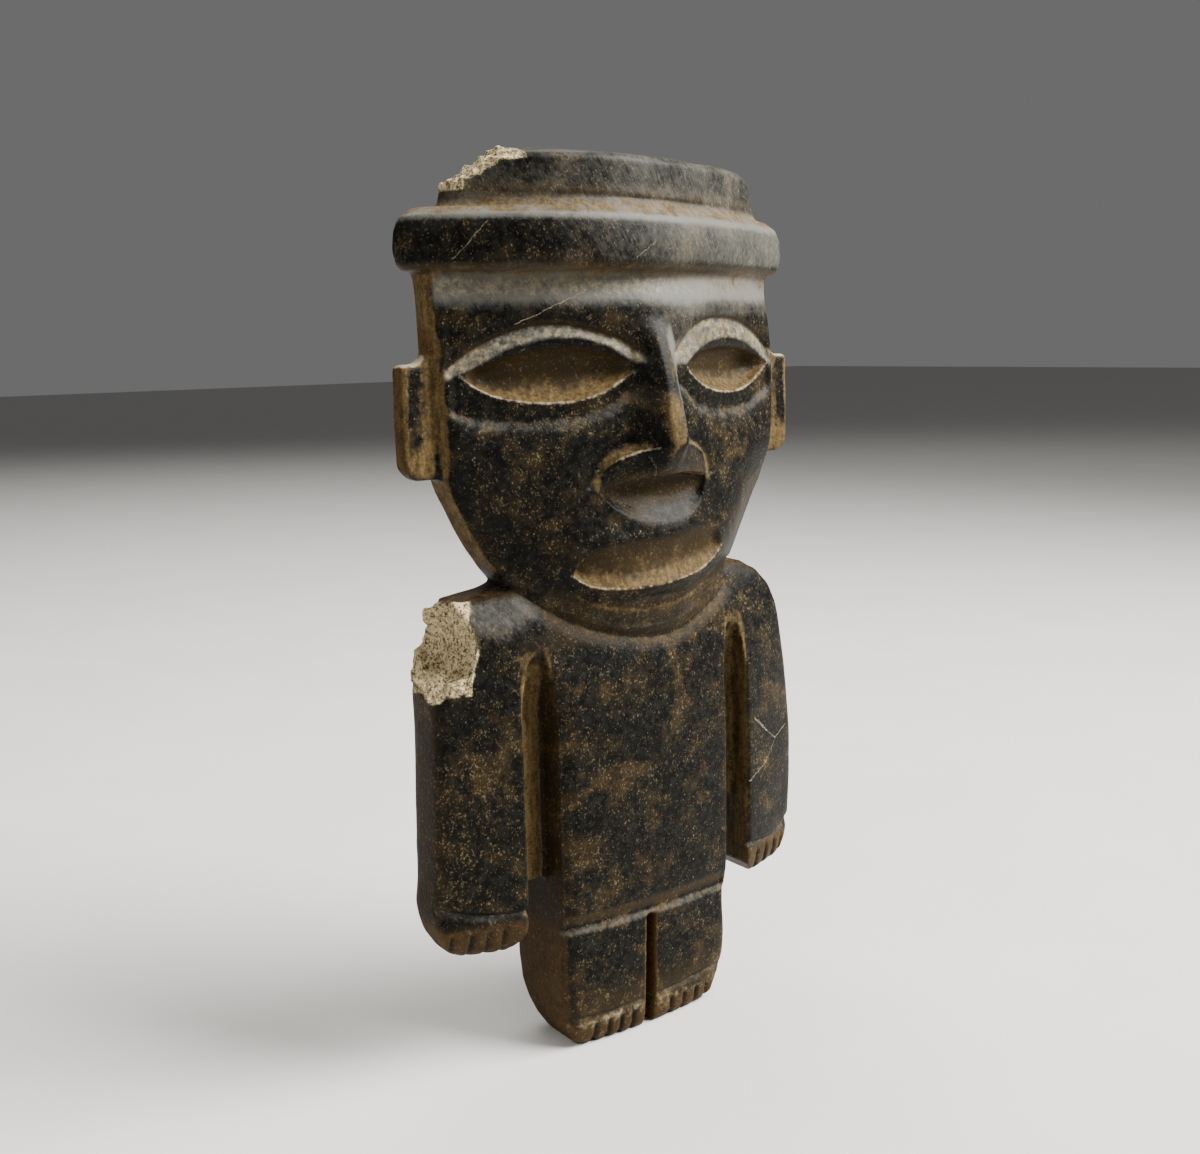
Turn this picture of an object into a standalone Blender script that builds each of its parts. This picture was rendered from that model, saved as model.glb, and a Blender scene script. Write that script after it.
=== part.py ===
"""A standing stone figure, carved from one block: a stepped headdress, a broad mask-like face, arms
free of the body at the hands, and short legs with toes. It stands on its soles and faces -Y."""

import math

import bmesh
import bpy
from mathutils import Matrix, Vector, noise

NAME = "statuette"

# The overall height, in metres. Every other size is laid out on a grid of 238 parts of it,
# as a carver squares up a block. Heights are above the soles, reaches are towards the viewer (-Y)
# and rears are away from it, both from the plane of the ears.
HEIGHT = 0.238
PART = HEIGHT / 238

# Rows of a form, from low to high: height, half width at the left, half width at the right,
# reach at the middle, reach at the sides, rear at the sides, rear at the middle, and the power of
# the bow of the front (1 is a wedge, 2 an arc, 4 nearly flat).
HEAD_ROWS = (
    (112.8, 4.0, 4.0, 10.5, 10.0, 3.0, 6.0, 2.0),
    (114.6, 13.0, 13.0, 12.2, 10.3, 5.0, 8.0, 2.0),
    (118.0, 21.5, 21.5, 13.4, 8.8, 7.0, 10.0, 2.4),
    (123.6, 30.5, 30.5, 15.4, 5.8, 8.0, 11.0, 2.8),
    (129.5, 37.4, 37.4, 17.0, 3.0, 8.4, 12.0, 3.0),
    (138.0, 43.8, 44.2, 18.0, 1.0, 8.8, 12.8, 2.8),
    (149.0, 49.6, 50.6, 18.6, 0.8, 9.0, 13.2, 2.2),
    (157.0, 53.3, 54.2, 19.0, 2.4, 9.0, 13.2, 1.8),
    (170.0, 54.4, 54.8, 19.4, 3.6, 9.0, 13.0, 1.5),
    (184.0, 54.8, 54.9, 19.6, 3.4, 9.0, 12.8, 1.4),
    (194.0, 55.2, 55.2, 19.6, 1.6, 8.6, 12.6, 1.6),
    (201.0, 55.5, 55.5, 18.8, -0.4, 8.4, 12.6, 1.8),
    (206.0, 56.0, 56.2, 18.0, -1.4, 8.6, 12.8, 1.9),
    (211.0, 57.6, 58.5, 18.6, -1.8, 9.2, 13.2, 2.0),
)
BRIM_ROWS = (
    (207.4, 58.8, 60.2, 20.2, -2.8, 7.6, 12.8, 2.1),
    (209.0, 60.2, 62.0, 21.6, -1.8, 8.6, 13.6, 2.1),
    (212.5, 60.8, 62.8, 22.4, -1.4, 9.0, 14.2, 2.1),
    (217.0, 60.4, 62.5, 22.3, -1.4, 9.0, 14.2, 2.1),
    (220.2, 59.2, 61.2, 21.4, -1.8, 8.4, 13.6, 2.1),
    (222.4, 55.6, 57.0, 19.2, -2.4, 7.4, 12.0, 2.1),
)
CROWN_ROWS = (
    (220.6, 51.6, 54.6, 20.0, -0.6, 8.0, 12.2, 2.1),
    (223.4, 49.0, 52.2, 18.4, -1.2, 7.2, 11.2, 2.1),
    (227.0, 48.2, 51.4, 17.8, -1.6, 6.8, 10.8, 2.1),
    (232.0, 47.6, 50.8, 17.9, -1.6, 6.8, 10.6, 2.1),
    (233.8, 46.6, 48.8, 17.8, -1.4, 6.4, 10.2, 2.2),
    (235.2, 44.4, 45.8, 16.4, -0.8, 5.8, 9.6, 2.2),
    (236.7, 39.0, 39.0, 7.6, -1.0, 5.0, 8.8, 2.0),
    (238.0, 25.0, 25.0, -0.8, -1.6, 4.2, 7.4, 2.0),
)
BODY_ROWS = (
    (32.8, 54.5, 55.0, 12.0, 1.2, 7.0, 9.4, 2.2),
    (34.6, 57.5, 58.6, 13.4, 2.4, 9.0, 11.0, 2.2),
    (39.0, 60.0, 61.0, 14.2, 3.0, 10.4, 12.0, 2.2),
    (47.0, 61.6, 62.2, 14.5, 3.2, 10.8, 12.4, 2.2),
    (53.0, 60.8, 62.6, 14.6, 3.2, 11.0, 12.6, 2.2),
    (66.0, 60.4, 62.9, 14.6, 3.2, 11.0, 12.6, 2.2),
    (78.0, 60.2, 62.4, 14.6, 3.2, 11.0, 12.6, 2.2),
    (92.0, 59.8, 60.6, 14.2, 3.4, 10.8, 12.4, 2.2),
    (104.0, 60.2, 58.6, 13.0, 3.6, 10.4, 12.0, 2.2),
    (113.0, 60.8, 56.6, 11.4, 3.6, 9.8, 11.4, 2.2),
    (119.0, 60.6, 53.8, 10.0, 3.2, 9.2, 10.8, 2.2),
    (123.4, 58.8, 50.0, 8.8, 2.4, 8.4, 10.0, 2.2),
    (126.4, 54.0, 45.0, 7.8, 1.2, 7.4, 9.2, 2.2),
    (128.2, 43.0, 38.0, 7.0, 0.0, 6.0, 8.4, 2.2),
    (130.6, 36.0, 28.0, 6.0, -1.0, 5.0, 7.6, 2.2),
)
LEG_ROWS = (
    (0.0, 22.2, 22.6, 10.2, 8.4, 4.4, 6.4, 2.4),
    (1.6, 24.2, 24.4, 11.2, 9.4, 6.8, 8.8, 2.4),
    (4.6, 25.8, 26.2, 11.8, 10.0, 9.4, 11.2, 2.4),
    (8.6, 26.8, 27.6, 12.2, 10.4, 11.6, 13.2, 2.4),
    (14.0, 27.8, 29.0, 12.4, 10.8, 13.4, 14.6, 2.4),
    (21.0, 28.3, 29.4, 12.6, 11.0, 13.8, 15.0, 2.4),
    (30.0, 28.4, 28.6, 12.8, 11.2, 12.8, 14.2, 2.4),
    (39.0, 28.4, 28.4, 12.8, 11.2, 11.4, 13.0, 2.4),
    (48.0, 28.0, 28.0, 12.0, 10.0, 9.6, 11.4, 2.4),
)
NOSE_ROWS = (
    (155.0, 17.4, 17.4, 21.4, 17.0, 0.0, 0.0, 2.2),
    (157.4, 15.0, 15.0, 25.2, 17.4, 0.0, 0.0, 1.7),
    (160.6, 12.0, 12.0, 28.2, 16.0, 0.0, 0.0, 1.5),
    (164.6, 10.0, 10.0, 29.4, 15.6, 0.0, 0.0, 1.5),
    (170.0, 8.6, 8.6, 28.4, 15.6, 0.0, 0.0, 1.4),
    (178.0, 6.8, 6.8, 26.0, 16.0, 0.0, 0.0, 1.4),
    (186.0, 5.2, 5.2, 23.4, 16.6, 0.0, 0.0, 1.4),
    (193.5, 3.4, 3.4, 19.4, 17.0, 0.0, 0.0, 1.4),
)
NOSE_TIP = max(row[3] for row in NOSE_ROWS) * PART
CALF_REAR = max(row[6] for row in LEG_ROWS) * PART
HEADDRESS_SKEW = 3.0 * PART
FRONT_CORNER = 2.4 * PART
REAR_CORNER = 3.2 * PART
NOSE_CORNER = 0.8 * PART
# The least flat that the corners of a side leave between them, and the most that they take of
# the half width
SIDE_FLAT = 0.4 * PART
CORNER_OF_WIDTH = 0.4
REAR_BOW = 2.4
LAYER_STEP = 5.0 * PART

# How far cutters pass through the figure, below its soles, and past the edges that they start from
CLEAR = 45.0 * PART
BELOW = 2.0 * PART
OVERRUN = 1.0 * PART

# Ears: flanges of even thickness at the sides of the head, hollowed into it above and cut at a
# slant below
EAR_REACH = 63.5 * PART
EAR_ROOT = 50.0 * PART
EAR_LOW_Z = 157.2 * PART
EAR_HIGH_Z = 185.4 * PART
EAR_FRONT = -0.2 * PART
EAR_REAR = 5.6 * PART
EAR_ROUND = 1.2 * PART
EAR_HOLLOW_START = 59.6 * PART
EAR_HOLLOW_END = 54.6 * PART
EAR_HOLLOW_HEIGHT = 8.5 * PART
EAR_SLANT = 3.0 * PART
EAR_ARC_STEPS = 5

# Channels between the arms and the torso, and the free gap below the web that joins them
CHANNEL_INNER = 28.4 * PART
CHANNEL_OUTER = 38.2 * PART
CHANNEL_TOP_Z = 117.0 * PART
CHANNEL_TAPER = 22.0 * PART
CHANNEL_RISE = 11.0 * PART
CHANNEL_RISE_POWER = 2.2
CHANNEL_NARROWING_POWER = 1.6
CHANNEL_TIP_SHARE = 0.06
CHANNEL_STEPS = 5
WEB_FRONT = 3.4 * PART
WEB_REAR = 4.6 * PART
WEB_LOW_LEFT_Z = 49.0 * PART
WEB_LOW_RIGHT_Z = 58.5 * PART

# Hem, legs and feet
HEM_Z = 34.6 * PART
HEM_TILT = math.radians(1.2)
SLIT_WIDTH = 3.0 * PART
SLIT_TOP_Z = 33.6 * PART
SLIT_REAR = 3.0 * PART
INSTEP_Z = 7.4 * PART
INSTEP_END_X = 25.0 * PART
TOE_GROOVES = 4
TOE_SPACING = 4.4 * PART
TOE_CENTRE_X = 13.0 * PART

# Hands
WRIST_Z = 44.6 * PART
WRIST_END_X = 61.2 * PART
HAND_LOW_Z = 32.8 * PART
PALM_ROUND = 3.4 * PART
PALM_TURN = math.radians(45)
FINGER_GROOVES = 4
FINGER_SPACING = 4.1 * PART
FINGER_CENTRE_X = 49.5 * PART
FINGER_TOP_Z = 42.0 * PART
FINGER_LENGTH = 11.0 * PART

# Eyes: a lens-shaped band with a deeper lens-shaped opening in it
LID_CENTRE_X = 28.4 * PART
LID_CENTRE_Z = 184.5 * PART
LID_HALF_LENGTH = 26.0 * PART
LID_RISE = 10.4 * PART
LID_DROP = 13.0 * PART
LID_DEPTH = 2.0 * PART
EYE_CENTRE_X = 28.8 * PART
EYE_CENTRE_Z = 183.0 * PART
EYE_HALF_LENGTH = 21.4 * PART
EYE_RISE = 7.8 * PART
EYE_DROP = 7.8 * PART
EYE_DEPTH = 5.2 * PART

# Mouth, the hollow under the nose, and the grooves beside the nose and round the chin
MOUTH_Z = 134.8 * PART
MOUTH_HALF_LENGTH = 24.6 * PART
MOUTH_RISE = 6.6 * PART
MOUTH_DROP = 7.4 * PART
MOUTH_DEPTH = 4.2 * PART
MOUTH_TILT = math.radians(3.0)
LIP_HOLLOW_Z = 150.4 * PART
LIP_HOLLOW_HALF_LENGTH = 17.0 * PART
LIP_HOLLOW_RISE = 4.2 * PART
LIP_HOLLOW_DROP = 3.6 * PART
LIP_HOLLOW_DEPTH = 2.4 * PART
CHIN_GROOVE_Z = 121.6 * PART
CHIN_GROOVE_SAG = 9.0 * PART
CHIN_GROOVE_HALF_LENGTH = 26.0 * PART

# The outlines of a hollow's floor, as shares of its rim
HOLLOW_STEPS = (1.0, 0.8, 0.45)

# Radii of the cutting tools
WIDE_GROOVE = 1.3 * PART
FINE_GROOVE = 0.8 * PART

# Breaks: a lost corner of the crown and a lost shoulder
CROWN_BREAK_PLACE = Vector((-46.4, 0.0, 239.5)) * PART
CROWN_BREAK_SIZE = Vector((20.0, 34.0, 9.2)) * PART
CROWN_BREAK_TURN = math.radians(-32)
CROWN_BREAK_BOXINESS = 0.85
SHOULDER_BREAK_PLACE = Vector((-65.0, -9.0, 117.0)) * PART
SHOULDER_BREAK_SIZE = Vector((15.8, 22.0, 15.6)) * PART
SHOULDER_BREAK_TURN = math.radians(-14)
SHOULDER_BREAK_BOXINESS = 0.15
BREAK_ROUGHNESS = 1.1 * PART
BREAK_COARSE_GRAIN = 6.0 * PART
BREAK_FINE_GRAIN = 2.6 * PART
BREAK_FINENESS = 4

STONE_COLOUR = (0.036, 0.037, 0.031, 1.0)
STONE_ROUGHNESS = 0.42


class Profile:
    """The rows of a form, in metres, read at any height along smooth curves."""

    def __init__(self, rows):
        self.rows = [[size * PART for size in row[:-1]] + [row[-1]] for row in rows]
        self.low, self.high = self.rows[0][0], self.rows[-1][0]

    def at(self, z):
        """The sizes at height z."""
        z = min(max(z, self.low), self.high)
        index = 0
        while index < len(self.rows) - 2 and z > self.rows[index + 1][0]:
            index += 1
        here, there = self.rows[index], self.rows[index + 1]
        before = self.rows[max(index - 1, 0)]
        after = self.rows[min(index + 2, len(self.rows) - 1)]
        span = there[0] - here[0]
        t = (z - here[0]) / span
        sizes = []
        for column in range(1, len(here)):
            start = slope(before, there, column) * span
            end = slope(here, after, column) * span
            sizes.append(hermite(here[column], there[column], start, end, t))
        return sizes

    def reach(self, x, z):
        """How far the front stands towards -Y at x and z."""
        left, right, front, edge, _, _, power = self.at(z)
        share = min(abs(x) / (left if x < 0 else right), 1.0)
        return edge + (front - edge) * (1 - share ** power)

    def heights(self):
        """The heights at which the form is given a ring of points: its rows, and steps between them."""
        levels = []
        for here, there in zip(self.rows, self.rows[1:]):
            steps = max(1, round((there[0] - here[0]) / LAYER_STEP))
            levels += [here[0] + (there[0] - here[0]) * i / steps for i in range(steps)]
        return levels + [self.high]


def slope(low, high, column):
    """The slope of a column between two rows."""
    return (high[column] - low[column]) / (high[0] - low[0])


def hermite(start, end, start_slope, end_slope, t):
    """A cubic from start to end with the given slopes."""
    return ((2 * t ** 3 - 3 * t ** 2 + 1) * start + (t ** 3 - 2 * t ** 2 + t) * start_slope
            + (3 * t ** 2 - 2 * t ** 3) * end + (t ** 3 - t ** 2) * end_slope)


def between(start, end, t):
    """The value a share t of the way from start to end."""
    return start + (end - start) * t


def sway(share):
    """An S across the front: 0 at the middle and at both sides, and 1 at its fullest."""
    return 1.5 * math.sqrt(3) * share * (1 - share ** 2)


def across(left, right, corner, count, arc=3):
    """x from the left side to the right: close together round the corners, even between them."""
    turns = [corner * (1 - math.sin(math.pi / 2 * i / arc)) for i in range(arc, 0, -1)]
    start, end = -left + corner, right - corner
    middle = [start + (end - start) * i / count for i in range(count + 1)]
    return [-left + c for c in turns] + middle + [right - c for c in reversed(turns)]


def corner_drop(x, left, right, corner):
    """How far a rounded corner falls back at x."""
    over = max(-x - (left - corner), x - (right - corner), 0.0)
    return corner - math.sqrt(max(corner ** 2 - over ** 2, 0.0))


def ring(profile, z, front_count, rear_count, front_corner, rear_corner, skew):
    """The closed outline of a form at height z."""
    left, right, front, edge, side_rear, rear, power = profile.at(z)
    room = (min(front, edge) + side_rear) / 2
    most = min(room - SIDE_FLAT / 2, CORNER_OF_WIDTH * left)
    front_corner = min(front_corner, most)
    rear_corner = min(rear_corner, most)
    points = []
    for x in across(left, right, front_corner, front_count):
        share = x / (left if x < 0 else right)
        y = -profile.reach(x, z) + skew * sway(share) + corner_drop(x, left, right, front_corner)
        points.append(Vector((x, y, z)))
    for x in reversed(across(left, right, rear_corner, rear_count)):
        share = abs(x) / (left if x < 0 else right)
        y = side_rear + (rear - side_rear) * (1 - min(share, 1.0) ** REAR_BOW)
        y -= corner_drop(x, left, right, rear_corner)
        points.append(Vector((x, y, z)))
    return points


def loft(name, outlines, collection, domed=False):
    """A closed form between outlines of as many points each, point to matching point."""
    bm = bmesh.new()
    loops = [[bm.verts.new(point) for point in outline] for outline in outlines]
    for near, far in zip(loops, loops[1:]):
        for i in range(len(near)):
            bm.faces.new((near[i - 1], near[i], far[i], far[i - 1]))
    bm.faces.new(loops[0])
    last = bm.faces.new(loops[-1])
    if domed:
        bmesh.ops.poke(bm, faces=[last])
    bmesh.ops.recalc_face_normals(bm, faces=bm.faces)
    return to_object(name, bm, collection)


def form(name, profile, collection, front_count, rear_count, front_corner=FRONT_CORNER,
         rear_corner=REAR_CORNER, skew=0.0):
    """A form through all the rows of a profile."""
    outlines = [ring(profile, z, front_count, rear_count, front_corner, rear_corner, skew)
                for z in profile.heights()]
    return loft(name, outlines, collection)


def to_object(name, bm, collection):
    """Makes a bmesh into an object of the collection."""
    mesh = bpy.data.meshes.new(name)
    bm.to_mesh(mesh)
    bm.free()
    thing = bpy.data.objects.new(name, mesh)
    collection.objects.link(thing)
    return thing


def lens(angle, half_length, rise, drop, fullness):
    """A point of a lens: pointed at both ends for a fullness of 1, nearly a box for one of 3."""
    u = math.cos(angle)
    height = (1 - abs(u) ** (1 + fullness)) ** (1 / fullness)
    return half_length * u, (rise if math.sin(angle) >= 0 else -drop) * height


def scoop(name, centre_x, centre_z, size, depths, collection, fullness=1.0, tilt=0.0, points=28,
          bowl=1.0):
    """A cutter that sinks a lens-shaped hollow into the face, its floor along the face's own curve.

    The depths are those at the hollow's top and bottom, and the floor comes up towards the rim by
    the share given as bowl."""
    half_length, rise, drop = size
    outlines = []
    for scale in HOLLOW_STEPS:
        outline = []
        for index in range(points):
            angle = 2 * math.pi * index / points
            u, v = lens(angle, half_length * scale, rise * scale, drop * scale, fullness)
            x = centre_x + u * math.cos(tilt) - v * math.sin(tilt)
            z = centre_z + u * math.sin(tilt) + v * math.cos(tilt)
            sunk = between(*depths, (1 - math.sin(angle) * scale) / 2) * (1 - bowl * scale ** 3)
            outline.append(Vector((x, sunk - HEAD.reach(x, z), z)))
        outlines.append(outline)
    outside = [Vector((point.x, -CLEAR, point.z)) for point in outlines[0]]
    return loft(name, [outside] + outlines, collection, domed=True)


def groove(name, path, radius, collection, roundness=1):
    """A round cutter along a path: a curve with a bevel, made a mesh with its caps welded."""
    curve = bpy.data.curves.new(name, "CURVE")
    curve.dimensions = "3D"
    curve.bevel_depth = radius
    curve.bevel_resolution = roundness
    curve.use_fill_caps = True
    spline = curve.splines.new("POLY")
    spline.points.add(len(path) - 1)
    for point, place in zip(spline.points, path):
        point.co = (*place, 1.0)
    guide = bpy.data.objects.new(name + "_guide", curve)
    collection.objects.link(guide)
    bpy.context.view_layer.update()
    evaluated = guide.evaluated_get(bpy.context.evaluated_depsgraph_get())
    mesh = bpy.data.meshes.new_from_object(evaluated)
    mesh.name = name
    bpy.data.objects.remove(guide)
    bm = bmesh.new()
    bm.from_mesh(mesh)
    bmesh.ops.remove_doubles(bm, verts=bm.verts, dist=0.00001)
    bmesh.ops.recalc_face_normals(bm, faces=bm.faces)
    bm.to_mesh(mesh)
    bm.free()
    thing = bpy.data.objects.new(name, mesh)
    collection.objects.link(thing)
    return thing


def ear(name, side, collection):
    """An ear: its outline, with a hollow arc up to the side of the head, made even in thickness."""
    outline = [(EAR_ROOT, EAR_LOW_Z), (EAR_REACH - EAR_SLANT, EAR_LOW_Z),
               (EAR_REACH, EAR_LOW_Z + EAR_SLANT), (EAR_REACH, EAR_HIGH_Z)]
    for step in range(EAR_ARC_STEPS + 1):
        turn = math.pi / 2 * step / EAR_ARC_STEPS
        x = EAR_HOLLOW_END + (EAR_HOLLOW_START - EAR_HOLLOW_END) * (1 - math.sin(turn))
        outline.append((x, EAR_HIGH_Z + EAR_HOLLOW_HEIGHT * (1 - math.cos(turn))))
    outline.append((EAR_ROOT, EAR_HIGH_Z + EAR_HOLLOW_HEIGHT))
    faces = [[Vector((side * x, y, z)) for x, z in outline] for y in (EAR_FRONT, EAR_REAR)]
    thing = loft(name, faces, collection)
    rounding = thing.modifiers.new("rounding", "BEVEL")
    rounding.width = EAR_ROUND
    rounding.segments = 2
    rounding.limit_method = "ANGLE"
    rounding.angle_limit = math.radians(40)
    return thing


def block(name, low, high, collection, tilt=0.0):
    """A box between two corners, turned about Y through its middle."""
    bm = bmesh.new()
    bmesh.ops.create_cube(bm, size=1.0)
    low, high = Vector(low), Vector(high)
    stretch = Matrix.Diagonal((*(high - low), 1.0))
    place = Matrix.Translation((low + high) / 2) @ Matrix.Rotation(tilt, 4, "Y")
    bmesh.ops.transform(bm, matrix=place @ stretch, verts=bm.verts)
    return to_object(name, bm, collection)


def broken(name, centre, size, turn, boxiness, collection):
    """A cutter with an uneven skin, which leaves a fracture: between a ball (0) and a box (1)."""
    bm = bmesh.new()
    bmesh.ops.create_icosphere(bm, subdivisions=BREAK_FINENESS, radius=1.0)
    for vert in bm.verts:
        flat = vert.co.normalized()
        cube = max(abs(flat.x), abs(flat.y), abs(flat.z))
        vert.co = flat.lerp(flat / cube, boxiness)
    place = Matrix.Rotation(turn, 4, "Y") @ Matrix.Diagonal((*size, 1.0))
    bmesh.ops.transform(bm, matrix=place, verts=bm.verts)
    for vert in bm.verts:
        rough = noise.noise(vert.co / BREAK_COARSE_GRAIN)
        rough += 0.5 * noise.noise(vert.co / BREAK_FINE_GRAIN)
        vert.co += vert.co.normalized() * BREAK_ROUGHNESS * rough
        vert.co += centre
    return to_object(name, bm, collection)


def channel(name, side, rear, collection):
    """A cutter for the hollow between arm and torso: pointed at the top, straight below."""
    way = 1 if rear else -1
    web = WEB_REAR if rear else WEB_FRONT
    middle = (CHANNEL_INNER + CHANNEL_OUTER) / 2
    outlines = []
    for step in range(-1, CHANNEL_STEPS + 1):
        share = max(step, 0) / CHANNEL_STEPS
        z = -BELOW if step < 0 else CHANNEL_TOP_Z - CHANNEL_TAPER * (1 - share)
        narrow = max(1 - share ** CHANNEL_NARROWING_POWER, CHANNEL_TIP_SHARE)
        half = (CHANNEL_OUTER - CHANNEL_INNER) / 2 * narrow
        floor = web + CHANNEL_RISE * share ** CHANNEL_RISE_POWER
        corners = ((-half, CLEAR), (half, CLEAR), (half, floor), (-half, floor))
        outlines.append([Vector((side * (middle + x), way * y, z)) for x, y in corners])
    return loft(name, outlines, collection)


def combine(target, other, operation):
    """Adds an exact Boolean with a helper object to the figure."""
    modifier = target.modifiers.new(other.name, "BOOLEAN")
    modifier.operation = operation
    modifier.solver = "EXACT"
    modifier.object = other
    other.hide_render = True
    other.display_type = "WIRE"


def front_line(profile, start, end, steps, sag=0.0):
    """Points on the front of a form, from one (x, z) to another, along a line that may sag."""
    places = []
    for i in range(steps + 1):
        t = i / steps
        x = between(start[0], end[0], t)
        z = between(start[1], end[1], t) - sag * (1 - (2 * t - 1) ** 2)
        places.append(Vector((x, -profile.reach(x, z), z)))
    return places


def face_cutters(cutters):
    """The eyes, mouth, hollow under the nose and groove of the chin."""
    made = []
    for side, label in ((-1, "left"), (1, "right")):
        lid = (LID_HALF_LENGTH, LID_RISE, LID_DROP)
        made.append(scoop("lid_" + label, side * LID_CENTRE_X, LID_CENTRE_Z, lid,
                          (LID_DEPTH, LID_DEPTH / 2), cutters, bowl=0.0))
        eye = (EYE_HALF_LENGTH, EYE_RISE, EYE_DROP)
        made.append(scoop("eye_" + label, side * EYE_CENTRE_X, EYE_CENTRE_Z, eye,
                          (EYE_DEPTH, EYE_DEPTH), cutters, bowl=0.4))
    mouth = (MOUTH_HALF_LENGTH, MOUTH_RISE, MOUTH_DROP)
    made.append(scoop("mouth", 0.0, MOUTH_Z, mouth, (MOUTH_DEPTH, MOUTH_DEPTH), cutters,
                      fullness=1.7, tilt=MOUTH_TILT, bowl=0.5))
    hollow = (LIP_HOLLOW_HALF_LENGTH, LIP_HOLLOW_RISE, LIP_HOLLOW_DROP)
    made.append(scoop("lip_hollow", 0.0, LIP_HOLLOW_Z, hollow, (LIP_HOLLOW_DEPTH, LIP_HOLLOW_DEPTH),
                      cutters, fullness=1.4, tilt=MOUTH_TILT, bowl=0.6))
    ends_z = CHIN_GROOVE_Z + CHIN_GROOVE_SAG
    path = front_line(HEAD, (-CHIN_GROOVE_HALF_LENGTH, ends_z), (CHIN_GROOVE_HALF_LENGTH, ends_z),
                      14, CHIN_GROOVE_SAG)
    made.append(groove("chin_groove", path, FINE_GROOVE, cutters))
    return made


def row_of(count, spacing, centre):
    """The places of evenly spaced grooves about a centre."""
    return [centre + (index - (count - 1) / 2) * spacing for index in range(count)]


def hand_cutters(side, label, cutters):
    """The line of the wrist, the grooves between the fingers and the round of the palm."""
    made = []
    line = front_line(BODY, (side * (CHANNEL_OUTER - OVERRUN), WRIST_Z), (side * WRIST_END_X, WRIST_Z), 8)
    made.append(groove("wrist_" + label, line, WIDE_GROOVE, cutters))
    for index, x in enumerate(row_of(FINGER_GROOVES, FINGER_SPACING, FINGER_CENTRE_X)):
        line = front_line(BODY, (side * x, FINGER_TOP_Z), (side * x, FINGER_TOP_Z - FINGER_LENGTH), 4)
        made.append(groove("finger_%s_%d" % (label, index), line, FINE_GROOVE, cutters, 0))
    palm = block("palm_round_" + label, (-PALM_ROUND, -CLEAR, -PALM_ROUND),
                 (PALM_ROUND, CLEAR, PALM_ROUND), cutters, PALM_TURN)
    palm.location = (side * CHANNEL_OUTER, 0.0, HAND_LOW_Z)
    return made + [palm]


def foot_cutters(side, label, cutters):
    """The grooves between the toes, which run up into the line of the instep, and that line."""
    made = []
    start_z = INSTEP_Z + FINE_GROOVE / 2
    for index, x in enumerate(row_of(TOE_GROOVES, TOE_SPACING, TOE_CENTRE_X)):
        line = front_line(LEGS, (side * x, start_z), (side * x, -BELOW), 3)
        made.append(groove("toe_%s_%d" % (label, index), line, FINE_GROOVE, cutters, 0))
    line = front_line(LEGS, (side * SLIT_WIDTH, INSTEP_Z), (side * INSTEP_END_X, INSTEP_Z), 6)
    return made + [groove("instep_" + label, line, FINE_GROOVE, cutters)]


def limb_cutters(cutters):
    """Channels beside the torso, the free gaps, the leg slit, and the lines of hands and feet."""
    made = []
    for side, label, web in ((-1, "left", WEB_LOW_LEFT_Z), (1, "right", WEB_LOW_RIGHT_Z)):
        made.append(channel("channel_front_" + label, side, False, cutters))
        made.append(channel("channel_rear_" + label, side, True, cutters))
        ends = sorted((side * CHANNEL_INNER, side * CHANNEL_OUTER))
        made.append(block("gap_" + label, (ends[0], -CLEAR, -BELOW), (ends[1], CLEAR, web), cutters))
        made += hand_cutters(side, label, cutters)
        made += foot_cutters(side, label, cutters)
    half = SLIT_WIDTH / 2
    made.append(block("leg_slit", (-half, -CLEAR, -BELOW), (half, -SLIT_REAR, SLIT_TOP_Z), cutters))
    return made


def stone():
    """Dark green-black polished stone."""
    material = bpy.data.materials.new("dark_stone")
    material.use_nodes = True
    shader = material.node_tree.nodes["Principled BSDF"]
    shader.inputs["Base Color"].default_value = STONE_COLOUR
    shader.inputs["Roughness"].default_value = STONE_ROUGHNESS
    shader.inputs["Metallic"].default_value = 0.0
    return material


HEAD = Profile(HEAD_ROWS)
BRIM = Profile(BRIM_ROWS)
CROWN = Profile(CROWN_ROWS)
BODY = Profile(BODY_ROWS)
LEGS = Profile(LEG_ROWS)
NOSE = Profile(NOSE_ROWS)


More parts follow.
